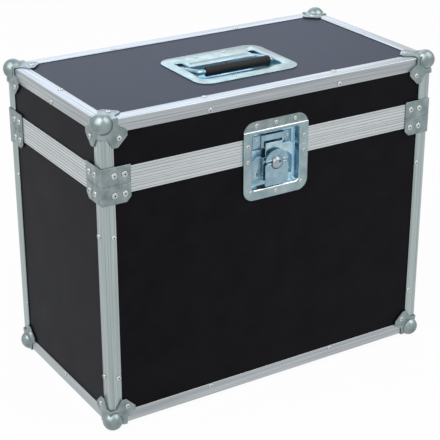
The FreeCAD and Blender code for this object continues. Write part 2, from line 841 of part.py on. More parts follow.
def hat_bridge(half_width, foot_end, thickness, depth, z_span):
    """Bridge with two legs down to the floor of the dish, and the two feet outside them."""
    floor = front_y(DISH_FLOOR_DEPTH)
    parts = [block(both(half_width), (front_y(depth), front_y(depth + thickness)), z_span)]
    leg = block((half_width - thickness, half_width), (front_y(depth), floor), z_span)
    foot = block((half_width - thickness, foot_end), (floor - thickness, floor), z_span)
    parts += both_sides(leg) + both_sides(foot)
    return fuse(parts)


def latch_keeper():
    """Bridge in the lid part of the dish, with the slot that takes the hook."""
    z_span = (latch_z(KEEPER_BOTTOM), latch_z(KEEPER_TOP))
    keeper = hat_bridge(KEEPER_HALF_WIDTH, KEEPER_FOOT_END, KEEPER_SHEET, KEEPER_DEPTH, z_span)
    slot = block(
        both(KEEPER_SLOT_HALF_WIDTH),
        (front_y(0), front_y(KEEPER_DEPTH + KEEPER_SHEET + OVERRUN)),
        (latch_z(KEEPER_SLOT_BOTTOM), latch_z(KEEPER_SLOT_TOP)),
    )
    return keeper.cut(slot)


def cover_plate():
    """Bridge over the drawbar that carries the shaft of the boss, with slanted feet."""
    z_span = (latch_z(COVER_BOTTOM), latch_z(COVER_TOP))
    cover = hat_bridge(COVER_HALF_WIDTH, COVER_FOOT_END, COVER_SHEET, COVER_DEPTH, z_span)
    boss_z = latch_z(BOSS_HEIGHT)
    hole = rod(
        Vector(0, front_y(0), boss_z),
        Vector(0, front_y(COVER_DEPTH + COVER_SHEET + OVERRUN), boss_z),
        SHAFT_RADIUS + SHAFT_CLEARANCE,
    )
    top = latch_z(COVER_TOP)
    corner = [
        (COVER_FOOT_END - COVER_CHAMFER, top, 0),
        (COVER_FOOT_END, top - COVER_CHAMFER, 0),
        (COVER_FOOT_END + OVERRUN, top - COVER_CHAMFER, 0),
        (COVER_FOOT_END + OVERRUN, top + OVERRUN, 0),
        (COVER_FOOT_END - COVER_CHAMFER, top + OVERRUN, 0),
    ]
    slant = sheet(corner, "XZ", front_y(0), front_y(DISH_FLOOR_DEPTH + OVERRUN))
    return cover.cut(hole).cut(slant).cut(mirrored(slant, AXIS_X))


def foot_rivets(x, height, thickness):
    """Rivet heads on the two feet of a bridge."""
    face = front_y(DISH_FLOOR_DEPTH - thickness)
    places = [Vector(one, face, latch_z(height)) for one in both(x)]
    return [rivet_head(place, -AXIS_Y, SMALL_RIVET_RADIUS, SMALL_RIVET_HEIGHT) for place in places]


# Turning and sliding parts of the latch

def wing_pin_z(direction):
    """Height of the pin of the upper (1) or lower (-1) wing."""
    return latch_z(BOSS_HEIGHT + WING_PIN_RISE + direction * WING_PIN_SPREAD)


def wing_pin_y():
    return front_y(-WING_DEPTH - WING_SHEET / 2)


def wing_rod(start, end, direction, radius):
    """Round bar on the axis of a wing pin, between two values of X."""
    y = wing_pin_y()
    z = wing_pin_z(direction)
    return rod(Vector(start, y, z), Vector(end, y, z), radius)


def latch_spindle():
    """Boss with its shaft and the eccentric that moves the drawbar, all in one."""
    z = latch_z(BOSS_HEIGHT)

    def turned_bar(start_depth, end_depth, radius, z_shift=0):
        start = Vector(0, front_y(start_depth), z + z_shift)
        return rod(start, Vector(0, front_y(end_depth), z + z_shift), radius)
    eccentric_start = DRAWBAR_DEPTH - ECCENTRIC_SIDE_GAP
    eccentric_end = DRAWBAR_DEPTH + DRAWBAR_SHEET + ECCENTRIC_SIDE_GAP
    boss = turned_bar(-BOSS_PROUD + BOSS_CHAMFER, BOSS_BACK_DEPTH, BOSS_RADIUS)
    crown = Part.makeCone(
        BOSS_RADIUS,
        BOSS_RADIUS - BOSS_CHAMFER,
        BOSS_CHAMFER,
        Vector(0, front_y(-BOSS_PROUD + BOSS_CHAMFER), z),
        -AXIS_Y,
    )
    parts = [
        boss,
        crown,
        turned_bar(BOSS_BACK_DEPTH, eccentric_start, SHAFT_RADIUS),
        turned_bar(eccentric_start, eccentric_end, ECCENTRIC_RADIUS, -ECCENTRIC_THROW),
        turned_bar(eccentric_end, DISH_FLOOR_DEPTH - SHAFT_END_GAP, SHAFT_RADIUS),
    ]
    spindle = fuse(parts)
    cheek_z = (wing_pin_z(-1) - 2 * WING_BARREL_RADIUS, wing_pin_z(1) + 2 * WING_BARREL_RADIUS)
    cheek = block((BOSS_FLAT, BOSS_RADIUS), (front_y(-BOSS_PROUD), front_y(BOSS_BACK_DEPTH)), cheek_z)
    spindle = spindle.cut(cheek).cut(mirrored(cheek, AXIS_X))
    for direction in (-1, 1):
        bore = wing_rod(-BOSS_RADIUS, BOSS_RADIUS, direction, WING_PIN_RADIUS + WING_PIN_CLEARANCE)
        spindle = spindle.cut(bore)
    dimple_z = z + BOSS_DIMPLE_OFFSET
    dimple = rod(
        Vector(BOSS_DIMPLE_OFFSET, front_y(-BOSS_PROUD - OVERRUN), dimple_z),
        Vector(BOSS_DIMPLE_OFFSET, front_y(BOSS_DIMPLE_DEPTH - BOSS_PROUD), dimple_z),
        BOSS_DIMPLE_RADIUS,
    )
    return spindle.cut(dimple)


def latch_drawbar():
    """Plate moved by the eccentric: a hook head with a bent lip and one wide shoulder."""
    eccentric_z = latch_z(BOSS_HEIGHT) - ECCENTRIC_THROW
    radius = DRAWBAR_CORNER_RADIUS
    outline_corners = [
        (-DRAWBAR_HALF_WIDTH, latch_z(DRAWBAR_BOTTOM), radius),
        (DRAWBAR_HALF_WIDTH, latch_z(DRAWBAR_BOTTOM), radius),
        (DRAWBAR_HALF_WIDTH, latch_z(DRAWBAR_SHOULDER_BOTTOM), 0),
        (DRAWBAR_SHOULDER_END, latch_z(DRAWBAR_SHOULDER_BOTTOM), radius),
        (DRAWBAR_SHOULDER_END, latch_z(DRAWBAR_SHOULDER_TOP), radius),
        (DRAWBAR_HALF_WIDTH, latch_z(DRAWBAR_SHOULDER_TOP), 0),
        (DRAWBAR_HALF_WIDTH, latch_z(DRAWBAR_TOP), 0),
        (-DRAWBAR_HALF_WIDTH, latch_z(DRAWBAR_TOP), 0),
    ]
    back = DRAWBAR_DEPTH + DRAWBAR_SHEET
    plate = sheet(outline_corners, "XZ", front_y(DRAWBAR_DEPTH), front_y(back))
    lip = block(
        both(DRAWBAR_HALF_WIDTH),
        (front_y(DRAWBAR_DEPTH), front_y(KEEPER_DEPTH - DRAWBAR_LIP_GAP)),
        (latch_z(DRAWBAR_TOP) - DRAWBAR_LIP_HEIGHT, latch_z(DRAWBAR_TOP)),
    )
    yoke_half_width = ECCENTRIC_RADIUS + ECCENTRIC_THROW + YOKE_SIDE_CLEARANCE
    yoke_half_height = ECCENTRIC_RADIUS + YOKE_HEIGHT_CLEARANCE
    yoke = block(
        both(yoke_half_width),
        (front_y(DRAWBAR_DEPTH - OVERRUN), front_y(back + OVERRUN)),
        (eccentric_z - yoke_half_height, eccentric_z + yoke_half_height),
    )
    return fuse([plate, lip]).cut(yoke)


def wing(blank, direction):
    """Wing plate with a barrel on each side of the boss, cut out round the boss and its pin."""
    boss_z = latch_z(BOSS_HEIGHT)
    front = front_y(-WING_DEPTH - WING_SHEET)
    back = front_y(-WING_DEPTH)
    notch = rod(Vector(0, front - OVERRUN, boss_z), Vector(0, back + OVERRUN, boss_z), WING_NOTCH_RADIUS)
    barrel = wing_rod(WING_BARREL_START, WING_BARREL_END, direction, WING_BARREL_RADIUS)
    bore = wing_rod(-WING_PIN_END, WING_PIN_END, direction, WING_PIN_RADIUS + WING_PIN_CLEARANCE)
    return fuse([blank.cut(notch)] + both_sides(barrel)).cut(bore)


def upper_wing():
    """Half-round wing above the boss."""
    boss_z = latch_z(BOSS_HEIGHT)
    low = wing_pin_z(1) - WING_BARREL_RADIUS
    front = front_y(-WING_DEPTH - WING_SHEET)
    back = front_y(-WING_DEPTH)
    disc = rod(Vector(0, front, boss_z), Vector(0, back, boss_z), UPPER_WING_RADIUS)
    half = block(both(UPPER_WING_RADIUS), (front, back), (low, boss_z + UPPER_WING_RADIUS))
    return wing(disc.common(half), 1)


def lower_wing():
    """Square wing below the boss, with its upper corners cut slanted."""
    high = wing_pin_z(-1) + WING_BARREL_RADIUS
    low = latch_z(LOWER_WING_BOTTOM)
    half = LOWER_WING_HALF_WIDTH
    shoulder = half - LOWER_WING_CHAMFER
    corners = [
        (-half, low, LOWER_WING_CORNER_RADIUS),
        (half, low, LOWER_WING_CORNER_RADIUS),
        (half, high - LOWER_WING_CHAMFER, 0),
        (shoulder, high, 0),
        (-shoulder, high, 0),
        (-half, high - LOWER_WING_CHAMFER, 0),
    ]
    return wing(sheet(corners, "XZ", front_y(-WING_DEPTH - WING_SHEET), front_y(-WING_DEPTH)), -1)


def wing_pins():
    return [wing_rod(-WING_PIN_END, WING_PIN_END, direction, WING_PIN_RADIUS) for direction in (-1, 1)]


# Handle in the lid

def handle_z(depth):
    """Height of a plane at this depth below the outer face of the top edge angles."""
    return BOX_TOP - depth


def handle_hollow(margin, low, high):
    """Recess for the grip with a pocket behind each arm, grown outwards by a margin."""
    half = HANDLE_RECESS_HALF_WIDTH + margin
    radius = HANDLE_RECESS_RADIUS + margin
    y_span = (HANDLE_RECESS_FRONT - margin, HANDLE_RECESS_REAR + margin)
    recess = sheet(rectangle(both(half), y_span, radius), "XY", low, high)
    inner_x = HANDLE_RECESS_HALF_WIDTH - HANDLE_POCKET_WIDTH - margin
    pocket_front = HANDLE_RECESS_REAR - HANDLE_RECESS_RADIUS
    pocket_corners = [
        (inner_x, pocket_front, 0),
        (half, pocket_front, 0),
        (half, HANDLE_POCKET_BACK + margin, HANDLE_POCKET_RADIUS),
        (inner_x, HANDLE_POCKET_BACK + margin, HANDLE_POCKET_RADIUS),
    ]
    pocket = sheet(pocket_corners, "XY", low, high)
    return fuse([recess] + both_sides(pocket))


def handle_dish():
    """Pressed dish with a broad flange on the top panel and holes for the trunnions."""
    flange_corners = rectangle(
        both(HANDLE_DISH_HALF_WIDTH),
        (HANDLE_DISH_FRONT, HANDLE_DISH_BACK),
        HANDLE_DISH_RADIUS,
    )
    flange = sheet(flange_corners, "XY", PANEL_TOP, PANEL_TOP + HANDLE_SHEET)
    floor = handle_z(HANDLE_RECESS_DEPTH)
    outside = handle_hollow(HANDLE_WALL, floor - HANDLE_WALL, PANEL_TOP + HANDLE_SHEET)
    inside = handle_hollow(0, floor, PANEL_TOP + HANDLE_SHEET + OVERRUN)
    dish = fuse([flange, outside]).cut(inside)
    reach = HANDLE_RECESS_HALF_WIDTH + HANDLE_WALL + OVERRUN
    y = BAIL_AXIS_BACK
    z = handle_z(BAIL_AXIS_DEPTH)
    holes = rod(Vector(-reach, y, z), Vector(reach, y, z), TRUNNION_RADIUS + TRUNNION_CLEARANCE)
    middle = block(
        both(HANDLE_RECESS_HALF_WIDTH - HANDLE_WALL),
        (HANDLE_DISH_FRONT, HANDLE_DISH_BACK),
        (0, BOX_TOP * 2),
    )
    return dish.cut(holes.cut(middle))


def raised(shape):
    """Turn the bail or its grip about the trunnions, so that the grip stands proud of the dish."""
    copy = shape.copy()
    copy.rotate(Vector(0, BAIL_AXIS_BACK, handle_z(BAIL_AXIS_DEPTH)), AXIS_X, -BAIL_TILT)
    return copy


def handle_bail():
    """Round bar bent to a U, with an eye and an outward trunnion at the end of each arm."""
    z = handle_z(BAIL_AXIS_DEPTH)
    x = BAIL_HALF_WIDTH
    bend = BAIL_BEND_RADIUS
    front = BAIL_GRIP_FRONT
    corner = bend - bend * math.sqrt(0.5)
    left_end = Vector(-x, BAIL_AXIS_BACK - BAIL_EYE_RADIUS, z)
    left_bend = Vector(-x, front + bend, z)
    left_middle = Vector(corner - x, front + corner, z)
    left_cross = Vector(bend - x, front, z)
    right_cross = Vector(x - bend, front, z)
    right_middle = Vector(x - corner, front + corner, z)
    right_bend = Vector(x, front + bend, z)
    right_end = Vector(x, BAIL_AXIS_BACK - BAIL_EYE_RADIUS, z)
    path = Part.Wire([
        Part.makeLine(left_end, left_bend),
        Part.Arc(left_bend, left_middle, left_cross).toShape(),
        Part.makeLine(left_cross, right_cross),
        Part.Arc(right_cross, right_middle, right_bend).toShape(),
        Part.makeLine(right_bend, right_end),
    ])
    ring = Part.Wire(Part.makeCircle(BAIL_RADIUS, left_end, AXIS_Y))
    parts = [path.makePipeShell([ring], True, False)]
    trunnion_end = HANDLE_RECESS_HALF_WIDTH + HANDLE_WALL + TRUNNION_PROUD
    eye_y = (BAIL_AXIS_BACK - BAIL_EYE_RADIUS, BAIL_AXIS_BACK + BAIL_EYE_RADIUS)
    eye_z = (z - BAIL_RADIUS - BAIL_EYE_WALL, z + BAIL_RADIUS + BAIL_EYE_WALL)
    for side in (-1, 1):
        inner = side * (x - BAIL_RADIUS)
        outer = side * (x + BAIL_RADIUS)
        parts.append(block(span(inner, outer), eye_y, eye_z))
        pin_start = Vector(outer, BAIL_AXIS_BACK, z)
        pin_end = Vector(side * trunnion_end, BAIL_AXIS_BACK, z)
        parts.append(rod(pin_start, pin_end, TRUNNION_RADIUS))
    return raised(fuse(parts))


def handle_grip():
    """Sleeve on the straight part of the bail, with bevelled ends."""
    z = handle_z(BAIL_AXIS_DEPTH)
    start = Vector(-GRIP_LENGTH / 2, BAIL_GRIP_FRONT, z)
    end = Vector(GRIP_LENGTH / 2, BAIL_GRIP_FRONT, z)
    sleeve = rod(start, end, GRIP_RADIUS)
    sleeve = sleeve.makeChamfer(GRIP_END_BEVEL, sleeve.Edges)
    return raised(sleeve.cut(rod(start, end, BAIL_RADIUS + GRIP_BORE_CLEARANCE)))


def handle_rivets():
    """Rivet heads on the front and the rear flange of the handle dish."""
    face = PANEL_TOP + HANDLE_SHEET
    heads = []
    for y in (HANDLE_FRONT_RIVETS, HANDLE_BACK_RIVETS):
        for x in both(HANDLE_DISH_RIVETS):
            heads.append(rivet_head(Vector(x, y, face), AXIS_Z, SMALL_RIVET_RADIUS, SMALL_RIVET_HEIGHT))
    return heads


# Rivets of the frame

def edge_rivets(corner_z, direction):
    """Rivet heads on both legs of the four edge angles at the top (1) or the bottom (-1)."""
    leg_z = corner_z - direction * EDGE_RIVET_INSET
    heads = []
    for x in both(HALF_LENGTH * EDGE_RIVET_SHARE):
        front = Vector(x, -HALF_DEPTH, leg_z)
        face = Vector(x, EDGE_RIVET_INSET - HALF_DEPTH, corner_z)
        heads.append(rivet_head(front, -AXIS_Y))
        heads.append(rivet_head(face, AXIS_Z * direction))
    heads += [mirrored(head, AXIS_Y) for head in heads]
    side = [
        rivet_head(Vector(-HALF_LENGTH, 0, leg_z), -AXIS_X),
        rivet_head(Vector(EDGE_RIVET_INSET - HALF_LENGTH, 0, corner_z), AXIS_Z * direction),
    ]
    for head in side:
        heads += both_sides(head)
    return heads


def upright_rivets():
    """Rivet heads on both legs of the four upright edge angles of the base."""
    middle = (BOX_BOTTOM + SEAM) / 2
    spread = (SEAM - BOX_BOTTOM) / 2 * UPRIGHT_RIVET_SHARE
    heads = []
    for z in (middle - spread, middle + spread):
        heads.append(rivet_head(Vector(EDGE_RIVET_INSET - HALF_LENGTH, -HALF_DEPTH, z), -AXIS_Y))
        heads.append(rivet_head(Vector(-HALF_LENGTH, EDGE_RIVET_INSET - HALF_DEPTH, z), -AXIS_X))
    return mirrored_groups(heads)


def main():
    os.makedirs("parts", exist_ok=True)

    for name, panel in base_panels().items():
        save("base_" + name + "_panel", [panel])
    for name, panel in lid_panels().items():
        save("lid_" + name + "_panel", [panel])
    floor_pad, lid_pad = foam_pads()
    save("floor_foam", [floor_pad])
    save("lid_foam", [lid_pad])

    save("base_bottom_angles", list(frame_bars(angle_section(BOX_BOTTOM, 1)).values()))
    save("lid_top_angles", list(frame_bars(angle_section(BOX_TOP, -1)).values()))
    base_upright = corner_angle((BOX_BOTTOM + ANGLE_LEG, SEAM - BASE_BAND))
    lid_upright = corner_angle((SEAM + LID_BAND, BOX_TOP - ANGLE_LEG))
    save("base_corner_angles", four_corners(base_upright))
    save("lid_corner_angles", four_corners(lid_upright))
    for name, rail in rails(base_rail_section()).items():
        save("base_rail_" + name, rail.Solids)
    for name, rail in rails(lid_rail_section()).items():
        save("lid_rail_" + name, rail.Solids)

    save("base_ball_corners", ball_corners(at_bottom))
    save("lid_ball_corners", ball_corners(at_top))
    brace_drop = SEAM - BRACE_HEIGHT
    save("base_corner_braces", four_corners(brace((brace_drop, SEAM), brace_drop)))
    save("lid_corner_braces", four_corners(brace((LID_FLOOR, LID_FLOOR + BRACE_HEIGHT), None)))

    save("base_hinge_leaves", at_hinges([hinge_leaf(-1, range(0, HINGE_KNUCKLES, 2))]))
    save("lid_hinge_leaves", at_hinges([hinge_leaf(1, range(1, HINGE_KNUCKLES, 2))]))
    save("hinge_pins", at_hinges([hinge_pin()]))

    base_dish, lid_dish = split_at_seam(latch_dish())
    base_dish_rivets, lid_dish_rivets = dish_rivets()
    save("latch_base_dish", [base_dish])
    save("latch_lid_dish", [lid_dish])
    save("latch_keeper", [latch_keeper()])
    save("latch_cover", [cover_plate()])
    save("latch_spindle", [latch_spindle()])
    save("latch_drawbar", [latch_drawbar()])
    save("latch_upper_wing", [upper_wing()])
    save("latch_lower_wing", [lower_wing()])
    save("latch_wing_pins", wing_pins())
    cover_rivets = foot_rivets(COVER_RIVETS, COVER_RIVET_HEIGHT, COVER_SHEET)
    keeper_rivets = foot_rivets(KEEPER_RIVETS, KEEPER_RIVET_HEIGHT, KEEPER_SHEET)
    save("latch_base_rivets", base_dish_rivets + cover_rivets)
    save("latch_lid_rivets", lid_dish_rivets + keeper_rivets)

    save("handle_dish", [handle_dish()])
    save("handle_bail", [handle_bail()])
    save("handle_grip", [handle_grip()])
    save("handle_rivets", handle_rivets())

    low_corners = [head for one in at_bottom(corner_rivets()) for head in four_corners(one)]
    high_corners = [head for one in at_top(corner_rivets()) for head in four_corners(one)]
    base_braces = mirrored_groups(brace_rivets(SEAM - BRACE_RIVET_HEIGHT))
    lid_braces = mirrored_groups(brace_rivets(SEAM + BRACE_RIVET_HEIGHT))
    base_edges = edge_rivets(BOX_BOTTOM, -1) + upright_rivets()
    save("base_frame_rivets", base_edges + base_braces)
    save("lid_frame_rivets", edge_rivets(BOX_TOP, 1) + lid_braces)
    save("base_ball_rivets", low_corners)
    save("lid_ball_rivets", high_corners)
    save("base_hinge_rivets", at_hinges(hinge_rivets(-1)))
    save("lid_hinge_rivets", at_hinges(hinge_rivets(1)))


main()
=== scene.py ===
"""Looks of a laminated record carrying case with an aluminium frame and steel fittings.

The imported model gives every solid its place. This script dresses the solids: it rounds
their edges, shapes the small fittings and gives each one the finish of the real thing.
"""

from __future__ import annotations

import json
import logging
import math
import random
from dataclasses import dataclass, field
from enum import Enum

import bmesh
import bpy
from mathutils import Matrix, Vector

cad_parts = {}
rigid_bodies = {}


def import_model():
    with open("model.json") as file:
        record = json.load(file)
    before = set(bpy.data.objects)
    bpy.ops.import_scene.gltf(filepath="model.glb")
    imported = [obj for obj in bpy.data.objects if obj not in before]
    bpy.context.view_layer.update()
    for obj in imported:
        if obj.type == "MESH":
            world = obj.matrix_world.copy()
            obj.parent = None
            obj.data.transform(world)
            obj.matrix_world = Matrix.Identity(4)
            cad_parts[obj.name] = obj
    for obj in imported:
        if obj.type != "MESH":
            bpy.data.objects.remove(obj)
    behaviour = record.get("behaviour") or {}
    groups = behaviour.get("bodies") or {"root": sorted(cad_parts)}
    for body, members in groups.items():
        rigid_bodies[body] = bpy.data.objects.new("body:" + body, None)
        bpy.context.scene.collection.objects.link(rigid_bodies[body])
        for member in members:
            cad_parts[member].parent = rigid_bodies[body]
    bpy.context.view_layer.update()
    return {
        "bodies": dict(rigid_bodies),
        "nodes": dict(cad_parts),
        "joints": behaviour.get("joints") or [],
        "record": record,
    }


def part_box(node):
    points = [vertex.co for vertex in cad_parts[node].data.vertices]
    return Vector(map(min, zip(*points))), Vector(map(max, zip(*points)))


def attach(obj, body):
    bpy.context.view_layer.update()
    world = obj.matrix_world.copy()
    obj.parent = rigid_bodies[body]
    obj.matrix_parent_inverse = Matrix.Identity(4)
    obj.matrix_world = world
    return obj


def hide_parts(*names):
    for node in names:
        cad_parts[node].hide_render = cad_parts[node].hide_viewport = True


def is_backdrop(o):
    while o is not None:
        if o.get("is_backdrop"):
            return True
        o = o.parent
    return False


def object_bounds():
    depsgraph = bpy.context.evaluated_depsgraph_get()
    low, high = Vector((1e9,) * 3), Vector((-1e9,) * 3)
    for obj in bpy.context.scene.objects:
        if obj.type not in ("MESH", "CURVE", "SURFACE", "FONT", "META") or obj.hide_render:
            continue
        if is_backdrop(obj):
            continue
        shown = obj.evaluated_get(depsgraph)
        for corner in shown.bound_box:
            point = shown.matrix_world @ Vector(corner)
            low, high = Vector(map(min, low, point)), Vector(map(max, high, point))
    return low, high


LOG = logging.getLogger("record_case")
MILLIMETRE = 0.001

# Points nearer than this are one point, and faces nearer than this lie in one plane, in mm
SAME_POINT = 0.002
SAME_PLANE = 0.05


class Axis(Enum):
    """Direction in which a profile is drawn and its fine lines run."""

    X = 0
    Y = 1
    Z = 2


class Element(Enum):
    """Kind of mesh element that is picked in edit mode."""

    EDGE = (False, True, False)
    FACE = (False, False, True)


class DishFace(Enum):
    """Number of the finish on each part of the latch dish."""

    FLANGE = 0
    RECESS = 1
    CORNER = 2
    WALL = 3


def hex_linear(code: str) -> tuple[float, float, float, float]:
    """Turn an sRGB hex colour to linear values.

    Args:
        code: a colour such as "#c9ccd2".

    Returns:
        Red, green and blue, and an alpha of one.
    """
    values = [int(code[start : start + 2], 16) / 255 for start in (1, 3, 5)]
    # The sRGB curve has a straight foot and then follows a power
    linear = [v / 12.92 if v <= 0.04045 else ((v + 0.055) / 1.055) ** 2.4 for v in values]
    return (linear[0], linear[1], linear[2], 1.0)


def add_node(
    tree: bpy.types.NodeTree,
    kind: str,
    settings: dict[str | int, object] | None = None,
    links: dict[str | int, bpy.types.NodeSocket] | None = None,
) -> bpy.types.Node:
    """Add a shader node with its settings and links.

    Args:
        tree: the node tree that takes it.
        kind: the node's type.
        settings: values by name. A name in small letters is a property of the node, "stops" are
            the places and colours of a ramp, and any other name or number is a socket.
        links: sockets of other nodes, by the name or number of the socket that they feed.

    Returns:
        The new node.
    """
    node = tree.nodes.new(kind)
    for name, value in (settings or {}).items():
        if name == "stops":
            ramp = node.color_ramp
            while len(ramp.elements) < len(value):
                ramp.elements.new(1.0)
            for element, (place, colour) in zip(ramp.elements, value):
                element.position = place
                element.color = hex_linear(colour)
        elif isinstance(name, str) and name.islower():
            setattr(node, name, value)
        else:
            node.inputs[name].default_value = value
    for name, source in (links or {}).items():
        tree.links.new(source, node.inputs[name])
    return node


@dataclass
class Surface:
    """A material under construction."""

    material: bpy.types.Material
    tree: bpy.types.NodeTree
    shader: bpy.types.Node
    place: bpy.types.NodeSocket

    @classmethod
    def blank(cls, name: str, settings: dict[str | int, object]) -> Surface:
        """Start a material from one shader.

        Args:
            name: the finish in plain words.
            settings: the shader's own values.

        Returns:
            The surface, with the socket that gives places on the piece.
        """
        material = bpy.data.materials.new(name)
        material.use_nodes = True
        tree = material.node_tree
        tree.nodes.clear()
        shader = add_node(tree, "ShaderNodeBsdfPrincipled", settings)
        add_node(tree, "ShaderNodeOutputMaterial", links={"Surface": shader.outputs["BSDF"]})
        coordinates = add_node(tree, "ShaderNodeTexCoord")
        return cls(material, tree, shader, coordinates.outputs["Object"])

    def pattern(
        self, kind: str, size: float, settings: dict[str | int, object] | None = None
    ) -> bpy.types.Node:
        """Add a texture of some kind whose grain has a real size.

        Args:
            kind: the node's type.
            size: the size of its grain in millimetres.
            settings: its other values.

        Returns:
            The texture.
        """
        values = {"Scale": 1 / (size * MILLIMETRE), **(settings or {})}
        return add_node(self.tree, kind, values, {"Vector": self.place})

    def dress(
        self,
        stops: list[tuple[float, str]],
        pattern: bpy.types.NodeSocket,
        relief: tuple[bpy.types.NodeSocket, float, float],
        gloss: tuple[float, float, float, float] | None = None,
    ) -> bpy.types.Material:
        """Give the surface its colours, relief and gloss, each from a pattern.

        Args:
            stops: places on the pattern and the colours there.
            pattern: what the colours and the gloss follow.
            relief: the pattern that raises the surface, its height in millimetres and the share
                of it that shows.
            gloss: two values of the pattern and the roughness at each of them.

        Returns:
            The finished material.
        """
        ramp = add_node(self.tree, "ShaderNodeValToRGB", {"stops": stops}, {"Fac": pattern})
        sources = {"Base Color": ramp.outputs["Color"]}
        if gloss:
            ends = dict(zip(("From Min", "From Max", "To Min", "To Max"), gloss))
            rough = add_node(self.tree, "ShaderNodeMapRange", ends, {"Value": pattern})
            sources["Roughness"] = rough.outputs["Result"]
        height, depth, strength = relief
        values = {"Strength": strength, "Distance": depth * MILLIMETRE}
        bump = add_node(self.tree, "ShaderNodeBump", values, {"Height": height})
        sources["Normal"] = bump.outputs["Normal"]
        for name, source in sources.items():
            self.tree.links.new(source, self.shader.inputs[name])
        return self.material


@dataclass(frozen=True)
class BlackLaminate:
    """Black phenolic laminate with a fine pressed pebble, which scatters light and stays dark.

    Handling leaves fine scuffs in the pebble, which vary its tone at random. A bluish sheen is a
    painted reflection of cool light from above; the top panel's copy is lighter and bluer with more
    sheen, which is painted light.
    The pebble is about 0.5 mm on the real board and is drawn at 1.3 mm, so that it shows.
    """

    name: str = "black_pebbled_laminate"
    colour: str = "#0f0f12"
    worn_colour: str = "#18181c"
    # Weight of a bluish sheen, a painted reflection of cool light from above
    painted_sheen: float = 0.2
    pebble: float = 1.3
    scuff: float = 45.0

    def material(self) -> bpy.types.Material:
        """Build the laminate."""
        surface = Surface.blank(
            self.name,
            {
                "Specular IOR Level": 0.05,
                "Sheen Weight": self.painted_sheen,
                "Sheen Roughness": 0.25,
                "Sheen Tint": hex_linear("#a3b8e8"),
            },
        )
        cloud = surface.pattern(
            "ShaderNodeTexNoise", self.scuff, {"Detail": 5.0, "Roughness": 0.62}
        )
        pebble = surface.pattern(
            "ShaderNodeTexVoronoi", self.pebble, {"feature": "SMOOTH_F1", "Smoothness": 0.6}
        )
        return surface.dress(
            [(0.35, self.colour), (0.75, self.worn_colour)],
            cloud.outputs["Fac"],
            (pebble.outputs["Distance"], 0.08, 0.35),
            (0.3, 0.75, 0.40, 0.52),
        )


@dataclass(frozen=True)
class DrawnAluminium:
    """Anodised aluminium profile: satin, with fine lines along the direction it was drawn in.

    The lines are a few hundredths of a millimetre wide and are drawn at 1.5 mm.
    """

    axis: Axis
    name: str = "anodised_aluminium_angle"
    colour: str = "#bdc2c5"
    dull_colour: str = "#8f969a"
    line: float = 1.5
    line_length: float = 240.0

    def material(self) -> bpy.types.Material:
        """Build the aluminium for one direction."""
        name = self.name + "_along_" + self.axis.name.lower()
        surface = Surface.blank(name, {"Metallic": 1.0, "Roughness": 0.34})
        scale = [1 / (self.line * MILLIMETRE)] * 3
        scale[self.axis.value] = 1 / (self.line_length * MILLIMETRE)
        stretched = add_node(
            surface.tree, "ShaderNodeMapping", {"Scale": tuple(scale)}, {"Vector": surface.place}
        )
        lines = add_node(
            surface.tree,
            "ShaderNodeTexNoise",
            {"Scale": 1.0, "Detail": 3.0, "Roughness": 0.6},
            {"Vector": stretched.outputs["Vector"]},
        )
        pattern = lines.outputs["Fac"]
        return surface.dress(
            [(0.3, self.dull_colour), (0.7, self.colour)],
            pattern,
            (pattern, 0.05, 0.25),
            (0.3, 0.7, 0.40, 0.28),
        )


@dataclass(frozen=True)
class ZincSteel:
    """Pressed steel with bright zinc plating, slightly cloudy where the plating took unevenly."""

    name: str
    colour: str
    cloud_colour: str
    cloud: float
    smooth: float
    rough: float
    grain: float = 0.8

    def material(self) -> bpy.types.Material:
        """Build the plating."""
        surface = Surface.blank(self.name, {"Metallic": 1.0, "Roughness": self.rough})
        clouds = surface.pattern(
            "ShaderNodeTexNoise", self.cloud, {"Detail": 2.5, "Roughness": 0.5}
        )
        grain = surface.pattern("ShaderNodeTexNoise", self.grain, {"Detail": 2.0})
        return surface.dress(
            [(0.3, self.cloud_colour), (0.72, self.colour)],
            clouds.outputs["Fac"],
            (grain.outputs["Fac"], 0.03, 0.3),
            (0.3, 0.72, self.rough, self.smooth),
        )


@dataclass(frozen=True)
class GripRubber:
    """Soft black rubber, matt, with a very fine moulded grain drawn at 1 mm."""

    colour: str = "#121214"
    shine_colour: str = "#1b1b1e"
    grain: float = 1.0

    def material(self) -> bpy.types.Material:
        """Build the rubber."""
        surface = Surface.blank("moulded_rubber", {"Roughness": 0.62, "Specular IOR Level": 0.3})
        grain = surface.pattern("ShaderNodeTexNoise", self.grain, {"Detail": 3.0})
        pattern = grain.outputs["Fac"]
        stops = [(0.3, self.colour), (0.75, self.shine_colour)]
        return surface.dress(stops, pattern, (pattern, 0.12, 0.4))


@dataclass(frozen=True)
class CharcoalFoam:
    """Open-celled polyether foam, charcoal, with cells of about 1 mm that swallow the light."""

    colour: str = "#202124"
    rib_colour: str = "#34353a"
    cell: float = 1.2

    def material(self) -> bpy.types.Material:
        """Build the foam."""
        surface = Surface.blank("open_cell_foam", {"Roughness": 0.95, "Specular IOR Level": 0.1})
        cells = surface.pattern("ShaderNodeTexVoronoi", self.cell)
        pattern = cells.outputs["Distance"]
        stops = [(0.1, self.colour), (0.7, self.rib_colour)]
        return surface.dress(stops, pattern, (pattern, 0.5, 0.8))
